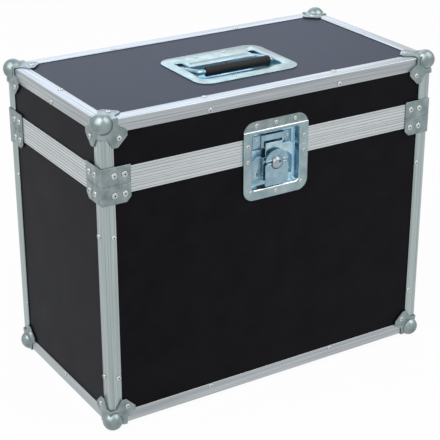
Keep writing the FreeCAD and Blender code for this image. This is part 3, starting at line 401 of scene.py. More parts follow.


# Each steel finish: name, bright and dull colour, size of its clouds in mm, lowest and highest
# roughness. The corners and braces have the greyest one. The recesses take a lighter, bluer copy:
# painted reflection.
STEEL_FINISHES = {
    "rail_groove": ("shaded_rail_groove", "#a6adb0", "#959ca0", 20.0, 0.4, 0.5),
    "corner_zinc": ("zinc_plated_steel", "#97a3a4", "#758384", 14.0, 0.28, 0.42),
    "flange_zinc": ("zinc_plated_flange", "#a0b2b6", "#85999e", 18.0, 0.22, 0.34),
    "recess_painted_reflection_zinc": ("blue_passivated_recess", "#bcd8e3", "#86b3cc", 15.0, 0.24, 0.36),
    "plate_zinc": ("zinc_plated_latch_plate", "#9db7c2", "#7f9cab", 12.0, 0.2, 0.32),
    "drawbar_painted_light_zinc": ("zinc_plated_drawbar", "#b5cdd5", "#97b4c0", 10.0, 0.2, 0.3),
    "painted_highlight_zinc": ("bright_zinc_edge", "#f0f6f7", "#d8e5e9", 12.0, 0.24, 0.36),
    "dish_zinc": ("zinc_plated_handle_dish", "#9fb2b2", "#889c9d", 14.0, 0.24, 0.36),
    "turned_steel": ("turned_boss_steel", "#a8b2b8", "#8b969d", 5.0, 0.2, 0.3),
    "rivet_steel": ("tubular_rivet_steel", "#c6cbcb", "#abb1b1", 6.0, 0.2, 0.3),
    "rivet_bore": ("shaded_rivet_bore", "#3d4245", "#2b2f32", 2.0, 0.4, 0.5),
    "slot_shade": ("shaded_bail_slot", "#33465a", "#243243", 8.0, 0.4, 0.5),
}


def put_in_scene(name: str, data: bpy.types.ID) -> bpy.types.Object:
    """Make an object of a mesh, lamp or camera and put it into the scene."""
    made = bpy.data.objects.new(name, data)
    bpy.context.scene.collection.objects.link(made)
    return made


def piece_of(work: bmesh.types.BMesh, name: str) -> bpy.types.Object:
    """Turn a mesh under construction into a piece, and free it."""
    mesh = bpy.data.meshes.new(name)
    work.to_mesh(mesh)
    work.free()
    return put_in_scene(mesh.name, mesh)


def select_only(piece: bpy.types.Object) -> None:
    """Select one piece and make it the active one."""
    bpy.ops.object.select_all(action="DESELECT")
    piece.select_set(True)
    bpy.context.view_layer.objects.active = piece


def pick(piece: bpy.types.Object, kind: Element, chosen: list[int]) -> None:
    """Open a piece in edit mode with some of its edges or faces selected.

    Args:
        piece: the piece.
        kind: whether edges or faces are picked.
        chosen: their numbers.
    """
    select_only(piece)
    for part in (*piece.data.vertices, *piece.data.edges, *piece.data.polygons):
        part.select = False
    parts = piece.data.edges if kind is Element.EDGE else piece.data.polygons
    for number in chosen:
        parts[number].select = True
    bpy.context.tool_settings.mesh_select_mode = kind.value
    bpy.ops.object.mode_set(mode="EDIT")


def edit_all() -> None:
    """Open the active piece in edit mode with all of it selected."""
    bpy.ops.object.mode_set(mode="EDIT")
    bpy.ops.mesh.select_all(action="SELECT")


def remove(piece: bpy.types.Object, kind: Element, chosen: list[int]) -> None:
    """Delete some edges or faces of a piece, with what belongs only to them."""
    pick(piece, kind, chosen)
    bpy.ops.mesh.delete(type=kind.name)
    bpy.ops.object.mode_set(mode="OBJECT")


def flatten(piece: bpy.types.Object) -> None:
    """Join the triangles of each plane to one face, up to where the finish changes."""
    work = bmesh.new()
    work.from_mesh(piece.data)
    bmesh.ops.dissolve_limit(
        work,
        angle_limit=math.radians(0.6),
        verts=work.verts,
        edges=work.edges,
        delimit={"MATERIAL"},
    )
    work.to_mesh(piece.data)
    work.free()


def smooth(piece: bpy.types.Object, angle: float = 32.0) -> None:
    """Shade a piece smooth, apart from edges sharper than an angle in degrees."""
    select_only(piece)
    bpy.ops.object.shade_smooth_by_angle(angle=math.radians(angle))


def round_off(
    piece: bpy.types.Object, width: float, segments: int, **settings: str | float | bool
) -> None:
    """Round edges of a piece by a bevel, which is applied.

    Args:
        piece: the piece.
        width: width of the rounding in millimetres.
        segments: number of facets across the rounding.
        settings: the bevel's other values, such as how its edges are chosen.
    """
    select_only(piece)
    bevel = piece.modifiers.new("rounding", "BEVEL")
    bevel.width = width * MILLIMETRE
    bevel.segments = segments
    for name, value in settings.items():
        setattr(bevel, name, value)
    bpy.ops.object.modifier_apply(modifier=bevel.name)


def bevel_edges(
    piece: bpy.types.Object, width: float, segments: int = 2, angle: float = 35.0
) -> None:
    """Round the sharp edges of a piece.

    Args:
        piece: the piece.
        width: width of the rounding in millimetres.
        segments: number of facets across the rounding.
        angle: the edges sharper than this many degrees are rounded.
    """
    round_off(piece, width, segments, limit_method="ANGLE", angle_limit=math.radians(angle))


def bevel_chosen(piece: bpy.types.Object, width: float, segments: int, chosen: list[int]) -> None:
    """Round some edges of a piece.

    Args:
        piece: the piece.
        width: width of the rounding in millimetres.
        segments: number of facets across the rounding.
        chosen: numbers of the edges.
    """
    weights = piece.data.attributes.new("bevel_weight_edge", "FLOAT", "EDGE")
    for number in chosen:
        weights.data[number].value = 1.0
    # The clamp would cut these roundings to nearly nothing beside the dish's short edges
    round_off(piece, width, segments, limit_method="WEIGHT", use_clamp_overlap=False)
    piece.data.attributes.remove(piece.data.attributes["bevel_weight_edge"])


def cut_away(piece: bpy.types.Object, cutter: bpy.types.Object) -> None:
    """Cut one piece out of another, and remove the cutter.

    Args:
        piece: the piece that keeps the rest.
        cutter: the closed form that is cut away.
    """
    select_only(piece)
    cut = piece.modifiers.new("cut", "BOOLEAN")
    cut.operation = "DIFFERENCE"
    cut.solver = "EXACT"
    cut.object = cutter
    bpy.ops.object.modifier_apply(modifier=cut.name)
    bpy.data.objects.remove(cutter, do_unlink=True)


def islands(mesh: bpy.types.Mesh) -> list[list[int]]:
    """Sort the faces of a mesh into its separate solids.

    Args:
        mesh: a mesh whose doubles are merged.

    Returns:
        The numbers of each solid's faces.
    """
    work = bmesh.new()
    work.from_mesh(mesh)
    work.faces.ensure_lookup_table()
    seen: set[int] = set()
    groups: list[list[int]] = []
    for face in work.faces:
        if face.index in seen:
            continue
        seen.add(face.index)
        group, front = [], [face]
        while front:
            current = front.pop()
            group.append(current.index)
            for edge in current.edges:
                for other in edge.link_faces:
                    if other.index not in seen:
                        seen.add(other.index)
                        front.append(other)
        groups.append(group)
    work.free()
    return groups


def group_points(mesh: bpy.types.Mesh, group: list[int]) -> list[Vector]:
    """Give the points of one solid of a mesh."""
    numbers = {number for face in group for number in mesh.polygons[face].vertices}
    return [mesh.vertices[number].co.copy() for number in numbers]


def extent(points: list[Vector]) -> tuple[Vector, Vector]:
    """Give the lowest and the highest corner of the box round some points."""
    low = Vector([min(point[axis] for point in points) for axis in range(3)])
    high = Vector([max(point[axis] for point in points) for axis in range(3)])
    return low, high


@dataclass
class Workshop:
    """What every sub-assembly needs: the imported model, its bodies and slots, and the finishes."""

    frame: dict
    finishes: dict[str, bpy.types.Material] = field(default_factory=dict)
    rail_look: tuple[str, str, str] = ("anodised_aluminium_rail", "#d0d5d6", "#b3b9bb")
    body_of: dict[str, str] = field(default_factory=dict)
    slot_of: dict[str, str] = field(default_factory=dict)
    low: Vector = field(default_factory=Vector)
    high: Vector = field(default_factory=Vector)

    def __post_init__(self) -> None:
        """Look up the body and the slot of every node, and build the finishes."""
        self.low, self.high = (Vector(corner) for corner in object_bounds())
        record = self.frame["record"]
        for body, nodes in record["behaviour"]["bodies"].items():
            for node in nodes:
                self.body_of[node] = body
        for part in record["subparts"]:
            self.slot_of[part["node"]] = part["material_slot"]
        self.finishes = {
            "laminate": BlackLaminate().material(),
            # The top panel's copy is lighter and bluer, with more sheen: painted light from above
            "top_light_laminate": BlackLaminate(
                "dusty_black_pebbled_laminate", "#373b46", "#454955", 0.8
            ).material(),
            "angle_x": DrawnAluminium(Axis.X).material(),
            "angle_y": DrawnAluminium(Axis.Y).material(),
            "angle_z": DrawnAluminium(Axis.Z, colour="#b5c0c1", dull_colour="#8c9798").material(),
            "rail_x": DrawnAluminium(Axis.X, *self.rail_look).material(),
            "rail_y": DrawnAluminium(Axis.Y, *self.rail_look).material(),
            "rubber": GripRubber().material(),
            "foam": CharcoalFoam().material(),
        }
        for finish, values in STEEL_FINISHES.items():
            self.finishes[finish] = ZincSteel(*values).material()

    def paint_node(self, node: str, finish: str) -> None:
        """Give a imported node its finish.

        Args:
            node: the node's name.
            finish: the finish's name.
        """
        piece = self.frame["nodes"][node]
        if not piece.material_slots:
            piece.data.materials.append(self.finishes[finish])
        for place in piece.material_slots:
            place.material = self.finishes[finish]
        LOG.info("painted %s with %s", node, finish)

    def merged_copy(self, node: str, name: str, flat: bool = True) -> bpy.types.Object:
        """Copy a node's mesh into a new piece and join its loose triangles.

        Args:
            node: the node's name.
            name: the new piece's name.
            flat: whether triangles in one plane become one face.

        Returns:
            The new piece, with no finish yet.
        """
        mesh = self.frame["nodes"][node].data.copy()
        mesh.materials.clear()
        work = bmesh.new()
        work.from_mesh(mesh)
        bmesh.ops.remove_doubles(work, verts=work.verts, dist=SAME_POINT * MILLIMETRE)
        work.to_mesh(mesh)
        work.free()
        mesh.name = name
        piece = put_in_scene(name, mesh)
        if flat:
            flatten(piece)
        return piece

    def rounded(
        self,
        node: str,
        name: str,
        finish: str,
        width: float,
        segments: int = 2,
        angle: float = 50.0,
        shade: float = 40.0,
    ) -> bpy.types.Object:
        """Copy a node, round its edges, and let the copy stand for it.

        Args:
            node: the node.
            name: the new piece's name.
            finish: its finish.
            width: width of the rounding in millimetres.
            segments: number of facets across the rounding.
            angle: the edges sharper than this many degrees are rounded.
            shade: the edges sharper than this many degrees stay crisp.

        Returns:
            The piece.
        """
        piece = self.merged_copy(node, name)
        bevel_edges(piece, width, segments, angle)
        smooth(piece, shade)
        return self.fit(piece, node, finish)

    def fit(self, piece: bpy.types.Object, node: str, *finishes: str) -> bpy.types.Object:
        """Dress a piece, put it on its body and let it stand for a node.

        Args:
            piece: the finished mesh.
            node: the node that it replaces.
            finishes: names of its finishes, in the order of its material numbers.

        Returns:
            The piece.
        """
        for finish in finishes:
            piece.data.materials.append(self.finishes[finish])
        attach(piece, self.body_of[node])
        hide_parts(node)
        LOG.info("fitted %s, %d faces", piece.name, len(piece.data.polygons))
        return piece


@dataclass
class PanelSet:
    """The ten laminated plywood panels, which stay as they are packed."""

    shop: Workshop
    sides: tuple[str, ...] = ("front", "back", "left", "right")

    def build(self) -> None:
        """Paint the panels of the base and of the lid."""
        # The top panel takes the laminate's lighter copy, which is painted light from above
        self.shop.paint_node("lid_top_panel", "top_light_laminate")
        self.shop.paint_node("base_bottom_panel", "laminate")
        for half in ("base", "lid"):
            for side in self.sides:
                self.shop.paint_node(f"{half}_{side}_panel", "laminate")


@dataclass
class ProfileFrame:
    """Edge angles and closing rails: drawn aluminium with slightly rounded edges."""

    shop: Workshop
    angle_rounding: float = 0.7
    rail_rounding: float = 0.18
    groove_depth: tuple[float, float] = (0.12, 0.5)
    groove_number: int = 3
    mitre_slope: float = 0.25
    halves: tuple[str, ...] = ("base", "lid")

    def build(self) -> None:
        """Build the angles and the rails."""
        for node in ("base_bottom_angles", "lid_top_angles"):
            piece = self.bars(node)
            mitres = [f.index for f in piece.data.polygons if self.mitred(f.normal)]
            remove(piece, Element.FACE, mitres)
            self.finish(piece, node, self.angle_rounding)
        for half in self.halves:
            node = f"{half}_corner_angles"
            self.finish(self.bars(node), node, self.angle_rounding)
            for side in ("front", "back", "left", "right"):
                node = f"{half}_rail_{side}"
                self.finish(self.bars(node), node, self.rail_rounding, "rail")

    def mitred(self, normal: Vector) -> bool:
        """Tell whether a face is one of the hidden mitres between two level bars."""
        return abs(normal.x * normal.y) > self.mitre_slope

    def bars(self, node: str) -> bpy.types.Object:
        """Copy a node's bars and mark each bar with the direction in which it was drawn.

        Args:
            node: the node.

        Returns:
            The bars, each face numbered by its direction.
        """
        name = node.replace("rail", "closing_rail") + "_profile"
        piece = self.shop.merged_copy(node, name, flat=False)
        low, high = self.shop.low, self.shop.high
        for face in piece.data.polygons:
            gaps = [min(face.center[i] - low[i], high[i] - face.center[i]) for i in range(2)]
            level = Axis.Y if gaps[0] < gaps[1] else Axis.X
            face.material_index = (Axis.Z if "corner" in node else level).value
        flatten(piece)
        return piece

    def finish(
        self, piece: bpy.types.Object, node: str, rounding: float, look: str = "angle"
    ) -> None:
        """Round the bars' edges and let them stand for the node.

        Args:
            piece: the bars.
            node: the node.
            rounding: width of the rounding in millimetres.
            look: the family of finishes.
        """
        bevel_edges(piece, rounding)
        smooth(piece)
        if look == "rail":
            self.shade_grooves(piece, node)
        self.shop.fit(piece, node, f"{look}_x", f"{look}_y", "angle_z", "rail_groove")

    def shade_grooves(self, piece: bpy.types.Object, node: str) -> None:
        """Give the fine grooves along a rail a darker finish, which is painted shade in the
        grooves.

        Args:
            piece: the rail.
            node: its node, whose name ends in the side that it lies on.
        """
        low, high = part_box(node)
        axis = 1 if node.endswith(("front", "back")) else 0
        outer = low[axis] if node.endswith(("front", "left")) else high[axis]
        for face in piece.data.polygons:
            depth = abs(face.center[axis] - outer) / MILLIMETRE
            if self.groove_depth[0] < depth < self.groove_depth[1]:
                face.material_index = self.groove_number


@dataclass
class CornerFittings:
    """Pressed ball corners with a valley round the ball, and the braces at the seam.

    A ball corner is three equal thirds. One is spun round the vertical through the ball, cut
    to the outline of its face plate, and turned twice round the corner's diagonal.
    """

    shop: Workshop
    ball_radius: float = 13.9
    ball_inset: float = 5.9
    plate_height: float = 1.5
    plate_reach: float = 37.5
    ball_end: float = 59.0
    ball_steps: int = 13
    valley: tuple[tuple[float, float], ...] = (
        (12.35, -0.62),
        (12.9, -0.84),
        (13.6, -0.72),
        (14.5, -0.36),
        (15.4, -0.1),
        (16.4, 0.0),
        (58.0, 0.0),
    )
    outline: tuple[tuple[float, float], ...] = (
        (25.0, 9.0),
        (37.5, 17.0),
        (37.5, 23.6),
        (23.6, 37.5),
        (17.0, 37.5),
        (9.0, 25.0),
    )
    spin_steps: int = 96
    plate_rounding: float = 0.45
    brace_rounding: float = 0.55

    def build(self) -> None:
        """Build the corners and the braces of both halves."""
        unit = self.unit_corner()
        for half in ("base", "lid"):
            self.ball_corners(f"{half}_ball_corners", unit)
            node, name = f"{half}_corner_braces", f"{half}_brace_plates"
            self.shop.rounded(node, name, "corner_zinc", self.brace_rounding, 3, 35.0, 32.0)
        bpy.data.objects.remove(unit, do_unlink=True)

    def unit_corner(self) -> bpy.types.Object:
        """Model the pressed corner of a box whose highest corner is the origin.

        Returns:
            The corner, with its wall thickness and rounded edges.
        """
        third = self.spun_third()
        thirds = [third]
        for turn in (1, 2):
            copy = put_in_scene(f"third_{turn}", third.data.copy())
            copy.data.transform(Matrix.Rotation(turn * math.tau / 3, 4, Vector((1.0, 1.0, 1.0))))
            thirds.append(copy)
        bpy.ops.object.select_all(action="DESELECT")
        for piece in thirds:
            piece.select_set(True)
        bpy.context.view_layer.objects.active = third
        bpy.ops.object.join()
        edit_all()
        bpy.ops.mesh.remove_doubles(threshold=0.02 * MILLIMETRE)
        bpy.ops.mesh.normals_make_consistent(inside=False)
        bpy.ops.mesh.dissolve_limited(angle_limit=math.radians(0.2))
        bpy.ops.object.mode_set(mode="OBJECT")
        wall = third.modifiers.new("wall", "SOLIDIFY")
        wall.thickness = self.plate_height * MILLIMETRE
        wall.offset = -1.0
        bpy.ops.object.modifier_apply(modifier=wall.name)
        third.data.transform(Matrix.Translation(Vector([-self.ball_inset * MILLIMETRE] * 3)))
        bevel_edges(third, self.plate_rounding, 2, 60.0)
        return third

    def spun_third(self) -> bpy.types.Object:
        """Spin the ball, its valley and the plate round the vertical and cut out one third.

        Returns:
            The third's outer skin, with the middle of the ball at the origin.
        """
        radius, plate = self.ball_radius, self.ball_inset + self.plate_height
        profile = []
        for step in range(self.ball_steps + 1):
            angle = math.radians(self.ball_end * step / self.ball_steps)
            profile.append((radius * math.sin(angle), radius * math.cos(angle)))
        profile += [(distance, plate + rise) for distance, rise in self.valley]
        bpy.ops.object.select_all(action="DESELECT")
        bpy.ops.mesh.primitive_circle_add(vertices=len(profile), radius=MILLIMETRE)
        third = bpy.context.active_object
        third.name = "ball_corner_third"
        for vertex, (distance, height) in zip(third.data.vertices, profile):
            vertex.co = (distance * MILLIMETRE, 0.0, height * MILLIMETRE)
        closing = [e.index for e in third.data.edges if abs(e.vertices[0] - e.vertices[1]) > 1]
        remove(third, Element.EDGE, closing)
        edit_all()
        bpy.ops.mesh.spin(
            steps=self.spin_steps, angle=math.tau, center=(0.0, 0.0, 0.0), axis=(0.0, 0.0, 1.0)
        )
        bpy.ops.mesh.select_all(action="SELECT")
        bpy.ops.mesh.remove_doubles(threshold=SAME_POINT * MILLIMETRE)
        for side in ((1.0, 0.0, -1.0), (0.0, 1.0, -1.0)):
            bpy.ops.mesh.select_all(action="SELECT")
            bpy.ops.mesh.bisect(plane_co=(0.0, 0.0, 0.0), plane_no=side, clear_outer=True)
        self.trim(third)
        return third

    def trim(self, third: bpy.types.Object) -> None:
        """Cut the third's plate to its outline. The third is open in edit mode.

        Args:
            third: the spun skin.
        """
        outline = [(-plane[0], -plane[1]) for plane in self.outline]
        edges = list(zip(outline, outline[1:]))
        leg = self.outline[0][0]
        edges += [((-leg, 0.0), (-leg, -1.0)), ((0.0, -leg), (-1.0, -leg))]
        inset = Vector((self.ball_inset, self.ball_inset, 0.0)) * MILLIMETRE
        for first, second in edges:
            start = Vector((first[0], first[1], 0.0)) * MILLIMETRE + inset
            along = Vector((second[0] - first[0], second[1] - first[1], 0.0)).normalized()
            bpy.ops.mesh.select_all(action="SELECT")
            bpy.ops.mesh.bisect(plane_co=start, plane_no=(along.y, -along.x, 0.0))
        bpy.ops.object.mode_set(mode="OBJECT")
        outside = []
        for face in third.data.polygons:
            place = (inset - face.center) / MILLIMETRE
            if not self.covers(place.x, place.y):
                outside.append(face.index)
        remove(third, Element.FACE, outside)

    def covers(self, across: float, down: float) -> bool:
        """Tell whether a point, as distances from the two edges, lies on the face plate."""
        low, high = sorted((across, down))
        leg, neck = self.outline[0]
        reach, shoulder = self.outline[1]
        ear = self.outline[2][1]
        if high <= leg:
            return True
        if high > reach or high + low > reach + ear:
            return False
        return low >= neck + (high - leg) * (shoulder - neck) / (reach - leg)

    def ball_corners(self, node: str, unit: bpy.types.Object) -> bpy.types.Object:
        """Put the pressed corner at the four corners of a node.

        Args:
            node: the node with four corners.
            unit: the corner to copy.

        Returns:
            The piece that stands for it.
        """
        packed = self.shop.merged_copy(node, node + "_packed")
        centre = (self.shop.low + self.shop.high) / 2
        work = bmesh.new()
        for group in islands(packed.data):
            low, high = extent(group_points(packed.data, group))
            middle = (low + high) / 2
            outward = [1.0 if middle[i] > centre[i] else -1.0 for i in range(3)]
            inner = [low[i] if outward[i] > 0 else high[i] for i in range(3)]
            reach = self.plate_reach * MILLIMETRE
            place = Vector([inner[i] + outward[i] * reach for i in range(3)])
            copy = unit.data.copy()
            copy.transform(Matrix.Translation(place) @ Matrix.Diagonal((*outward, 1.0)))
            if math.prod(outward) < 0:
                copy.flip_normals()
            for vertex in copy.vertices:
                vertex.co = [min(max(vertex.co[i], low[i]), high[i]) for i in range(3)]
            work.from_mesh(copy)
            bpy.data.meshes.remove(copy)
        bpy.data.objects.remove(packed, do_unlink=True)
        piece = piece_of(work, node + "_pressed")
        smooth(piece, 35.0)
        return self.shop.fit(piece, node, "corner_zinc")


@dataclass
class TubularRivets:
    """Rivet heads: low domes with the rolled hole of a tubular rivet in the middle."""

    shop: Workshop
    sides: int = 16
    spread: float = 1.12
    brace_spread: float = 1.3
    hole_share: float = 0.27
    hole_depth_share: float = 0.85
    hole_margin: float = 0.02
    foot_margin: float = 0.01
    steps: tuple[tuple[float, float], ...] = ((0.32, 1.0), (0.36, 0.93), (0.26, 0.8), (0.14, 0.72))

    def build(self) -> None:
        """Replace every group of packed heads."""
        unit = self.model_head()
        for node in self.shop.body_of:
            if node.endswith("_rivets"):
                self.place_heads(node, unit)
        bpy.data.objects.remove(unit, do_unlink=True)

    def model_head(self) -> bpy.types.Object:
        """Model one head of radius one and height one, standing on the origin.

        Returns:
            The head, with its hole in the second finish.
        """
        bpy.ops.object.select_all(action="DESELECT")
        bpy.ops.mesh.primitive_circle_add(vertices=self.sides, radius=1.0, fill_type="NGON")
        head = bpy.context.active_object
        edit_all()
        for rise, share in self.steps:
            bpy.ops.mesh.extrude_region_move(TRANSFORM_OT_translate={"value": (0.0, 0.0, rise)})
            bpy.ops.transform.resize(value=(share, share, 1.0))
        crown = math.prod(share for _, share in self.steps)
        bpy.ops.mesh.inset(thickness=crown - self.hole_share, depth=0.0)
        bpy.ops.mesh.extrude_region_move(
            TRANSFORM_OT_translate={"value": (0.0, 0.0, -self.hole_depth_share)}
        )
        bpy.ops.object.mode_set(mode="OBJECT")
        for face in head.data.polygons:
            reach = max(head.data.vertices[number].co.xy.length for number in face.vertices)
            narrow = reach < self.hole_share + self.hole_margin
            face.material_index = int(narrow and face.center.z > self.foot_margin)
        return head

    def place_heads(self, node: str, unit: bpy.types.Object) -> bpy.types.Object:
        """Put a head where each packed head is.

        Args:
            node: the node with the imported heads.
            unit: the head to copy.

        Returns:
            The piece with all the heads.
        """
        packed = self.shop.merged_copy(node, node + "_packed", flat=False)
        brace_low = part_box("base_corner_braces")[0][2]
        brace_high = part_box("lid_corner_braces")[1][2]
        work = bmesh.new()
        for group in islands(packed.data):
            points = group_points(packed.data, group)
            low, high = extent(points)
            size = high - low
            thin = min(range(3), key=lambda axis: size[axis])
            radius = max(size) / 2
            middle = (low + high) / 2
            spread = [0.0, 0.0]
            for point in points:
                end = 0 if point[thin] < middle[thin] else 1
                spread[end] = max(spread[end], (point - middle).length)
            outward = Vector()
            outward[thin] = 1.0 if spread[0] > spread[1] else -1.0
            seat = middle.copy()
            seat[thin] = low[thin] if outward[thin] > 0 else high[thin]
            turn = outward.to_track_quat("Z", "Y").to_matrix().to_4x4()
            on_brace = "frame" in node and brace_low < middle.z < brace_high
            radius *= self.brace_spread if on_brace else self.spread
            scale = Matrix.Diagonal((radius, radius, size[thin], 1.0))
            head = unit.data.copy()
            head.transform(Matrix.Translation(seat) @ turn @ scale)
            work.from_mesh(head)
            bpy.data.meshes.remove(head)
        bpy.data.objects.remove(packed, do_unlink=True)
        piece = piece_of(work, node + "_domed")
        smooth(piece, 50.0)
        return self.shop.fit(piece, node, "rivet_steel", "rivet_bore")


@dataclass
class LidHinges:
    """Two butt hinges on the back, with their pins."""

    shop: Workshop
    rounding: float = 0.35

    def build(self) -> None:
        """Round the edges of the leaves and the pins."""
        for node, finish in (
            ("base_hinge_leaves", "corner_zinc"),
            ("lid_hinge_leaves", "corner_zinc"),
            ("hinge_pins", "turned_steel"),
        ):
            self.shop.rounded(node, node + "_rounded", finish, self.rounding, shade=32.0)


@dataclass
class ButterflyLatch:
    """The recessed latch: dish in two halves, keeper, cover, drawbar, boss and wings."""

    shop: Workshop
    mouth_half_width: float = 39.0
    mouth_foot: float = 300.0
    mouth_height: float = 386.5
    mouth_rounding: float = 2.4
    ridge_height: float = 389.7
    ridge_reach: float = 1.6
    ridge_rounding: float = 1.35
    ridge_margin: float = 0.3
    crank_margin: float = 0.1
    ridge_slope: float = 0.3
    sill_slope: float = 0.5
    flange_depth: float = 1.0
    dish_rounding: float = 0.45
    small_rounding: float = 0.35
    boss_inset: float = 0.9
    boss_steps: tuple[tuple[float, float], ...] = ((1.1, 0.9), (1.0, 0.78))
    boss_rounding: float = 0.35
    pin_rounding: float = 0.15
    facing: float = 0.9
    plates: tuple[str, ...] = (
        "latch_keeper",
        "latch_cover",
        "latch_drawbar",
        "latch_upper_wing",
        "latch_lower_wing",
    )

    def build(self) -> None:
        """Build every piece of the latch."""
        for node in ("latch_base_dish", "latch_lid_dish"):
            self.dish(node)
        for node in self.plates:
            # The drawbar takes a lighter copy of the plate zinc: painted light in the shaded gap
            # under the upper wing
            finish = "drawbar_painted_light_zinc" if node == "latch_drawbar" else "plate_zinc"
            self.shop.rounded(node, node + "_pressed", finish, self.small_rounding)
        self.boss()
        node = "latch_wing_pins"
        self.shop.rounded(node, node + "_turned", "turned_steel", self.pin_rounding)

    def dish(self, node: str) -> bpy.types.Object:
        """Round the mouth and the crank of half a dish, and tell flange from recess.

        Args:
            node: the node.

        Returns:
            The piece that stands for the node.
        """
        piece = self.shop.merged_copy(node, node + "_pressed")
        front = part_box(node)[0][1]
        bevel_chosen(piece, self.ridge_rounding, 3, self.front_edges(piece, front, True))
        bevel_chosen(piece, self.mouth_rounding, 4, self.front_edges(piece, front, False))
        bevel_edges(piece, self.dish_rounding, 2, 50.0)
        smooth(piece, 40.0)
        # Recess faces take a lighter, bluer copy of the plating: painted reflection
        for face in piece.data.polygons:
            place = face.center / MILLIMETRE
            inside = abs(place.x) < self.mouth_half_width and place.z < self.mouth_height
            ridge = abs(place.z - self.ridge_height) < self.ridge_reach
            up = face.normal.z
            # Faces that look up inside the mouth and on the ridge take a near-white copy: painted
            # highlight
            if inside and up > self.sill_slope or ridge and up > self.ridge_slope:
                part = DishFace.WALL
            elif inside and place.y > front / MILLIMETRE + self.flange_depth:
                part = DishFace.RECESS
            elif place.z > self.ridge_height + self.ridge_margin:
                part = DishFace.CORNER
            else:
                part = DishFace.FLANGE
            face.material_index = part.value
        return self.shop.fit(piece, node, "flange_zinc", "recess_painted_reflection_zinc", "corner_zinc", "painted_highlight_zinc")

    def front_edges(self, piece: bpy.types.Object, front: float, crank: bool) -> list[int]:
        """Find the edges of the crank or of the mouth in the flange's face.

        Args:
            piece: half of the dish.
            front: place of the flange's face along Y.
            crank: whether the crank's edges are wanted.

        Returns:
            The numbers of the edges.
        """
        points = [vertex.co for vertex in piece.data.vertices]
        chosen = []
        for edge in piece.data.edges:
            ends = [points[number] for number in edge.vertices]
            if max(abs(end.y - front) for end in ends) > SAME_PLANE * MILLIMETRE:
                continue
            heights = sorted(end.z / MILLIMETRE for end in ends)
            across = max(abs(end.x) for end in ends) / MILLIMETRE
            on_crank = heights[0] > self.ridge_height - self.crank_margin
            level = self.mouth_foot < heights[0] and heights[1] < self.mouth_height
            in_mouth = level and across < self.mouth_half_width
            wanted = on_crank if crank else in_mouth
            if wanted:
                chosen.append(edge.index)
        return chosen

    def boss(self) -> bpy.types.Object:
        """Draw the boss's face forward to a low crown and round its edges.

        Returns:
            The piece that stands for the boss and its eccentric.
        """
        piece = self.shop.merged_copy("latch_spindle", "latch_boss_turned")
        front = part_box("latch_spindle")[0][1]
        face = [
            f.index
            for f in piece.data.polygons
            if f.normal.y < -self.facing and abs(f.center.y - front) < SAME_PLANE * MILLIMETRE
        ]
        pick(piece, Element.FACE, face)
        bpy.ops.mesh.inset(thickness=self.boss_inset * MILLIMETRE)
        for rise, share in self.boss_steps:
            bpy.ops.mesh.extrude_region_move(
                TRANSFORM_OT_translate={"value": (0.0, -rise * MILLIMETRE, 0.0)}
            )
            bpy.ops.transform.resize(value=(share, 1.0, share))
        bpy.ops.object.mode_set(mode="OBJECT")
        bevel_edges(piece, self.boss_rounding, 3, 50.0)
        smooth(piece, 40.0)
        return self.shop.fit(piece, "latch_spindle", "turned_steel")


@dataclass
class RecessedHandle:
    """The handle on top: pressed dish, wire bail and rubber grip."""

    shop: Workshop
    mouth_half_width: float = 67.0
    mouth_span: tuple[float, float] = (-60.0, 21.0)
    bead_radius: float = 1.5
    bead_depth: float = 0.9
    bead_place: float = 12.0
    bead_half_length: float = 46.0
    slot_start: float = 8.5
    slot_shade: float = 3.0
    mouth_rounding: float = 1.35
    dish_rounding: float = 0.45
    bail_rounding: float = 0.3
    grip_rounding: float = 1.0

    def build(self) -> None:
        """Build the dish, the bail and the grip."""
        self.dish()
        for node, rounding, finish in (
            ("handle_bail", self.bail_rounding, "plate_zinc"),
            ("handle_grip", self.grip_rounding, "rubber"),
        ):
            self.shop.rounded(node, node + "_shaped", finish, rounding, 3)

    def dish(self) -> bpy.types.Object:
        """Round the mouth of the dish, and tell flange from recess.

        Returns:
            The piece that stands for the dish.
        """
        node = "handle_dish"
        piece = self.shop.merged_copy(node, node + "_pressed")
        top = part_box(node)[1][2]
        points = [vertex.co for vertex in piece.data.vertices]
        chosen = []
        for edge in piece.data.edges:
            ends = [points[number] for number in edge.vertices]
            level = max(abs(end.z - top) for end in ends) < SAME_PLANE * MILLIMETRE
            if level and all(self.within(end / MILLIMETRE) for end in ends):
                chosen.append(edge.index)
        bevel_chosen(piece, self.mouth_rounding, 3, chosen)
        bevel_edges(piece, self.dish_rounding, 2, 50.0)
        self.bead(piece, top)
        smooth(piece, 40.0)
        # Recess faces take the lighter, bluer plating copy, a painted reflection; the slot floors
        # take painted shade
        for face in piece.data.polygons:
            place = face.center / MILLIMETRE
            depth = top / MILLIMETRE - place.z
            if self.within(place) and depth > 1.0:
                face.material_index = 2 if self.in_slot(place) and depth > self.slot_shade else 1
        return self.shop.fit(piece, node, "dish_zinc", "recess_painted_reflection_zinc", "slot_shade")

    def bead(self, piece: bpy.types.Object, top: float) -> None:
        """Press a stiffening groove into the flange, from pocket to pocket.

        Args:
            piece: the dish.
            top: height of the flange's face.
        """
        height = top + (self.bead_radius - self.bead_depth) * MILLIMETRE
        bpy.ops.object.select_all(action="DESELECT")
        bpy.ops.mesh.primitive_cylinder_add(
            vertices=32,
            radius=self.bead_radius * MILLIMETRE,
            depth=2 * self.bead_half_length * MILLIMETRE,
            location=(0.0, self.bead_place * MILLIMETRE, height),
            rotation=(0.0, math.pi / 2, 0.0),
        )
        bar = bpy.context.active_object
        bevel_edges(bar, 0.9 * self.bead_radius, 4, 50.0)
        cut_away(piece, bar)

    def in_slot(self, place: Vector) -> bool:
        """Tell whether a place in millimetres lies in one of the slots behind the recess."""
        return abs(place.x) > self.bead_half_length and place.y > self.slot_start

    def within(self, place: Vector) -> bool:
        """Tell whether a place in millimetres lies over the dish's recess."""
        front, back = self.mouth_span
        return abs(place.x) < self.mouth_half_width and front < place.y < back


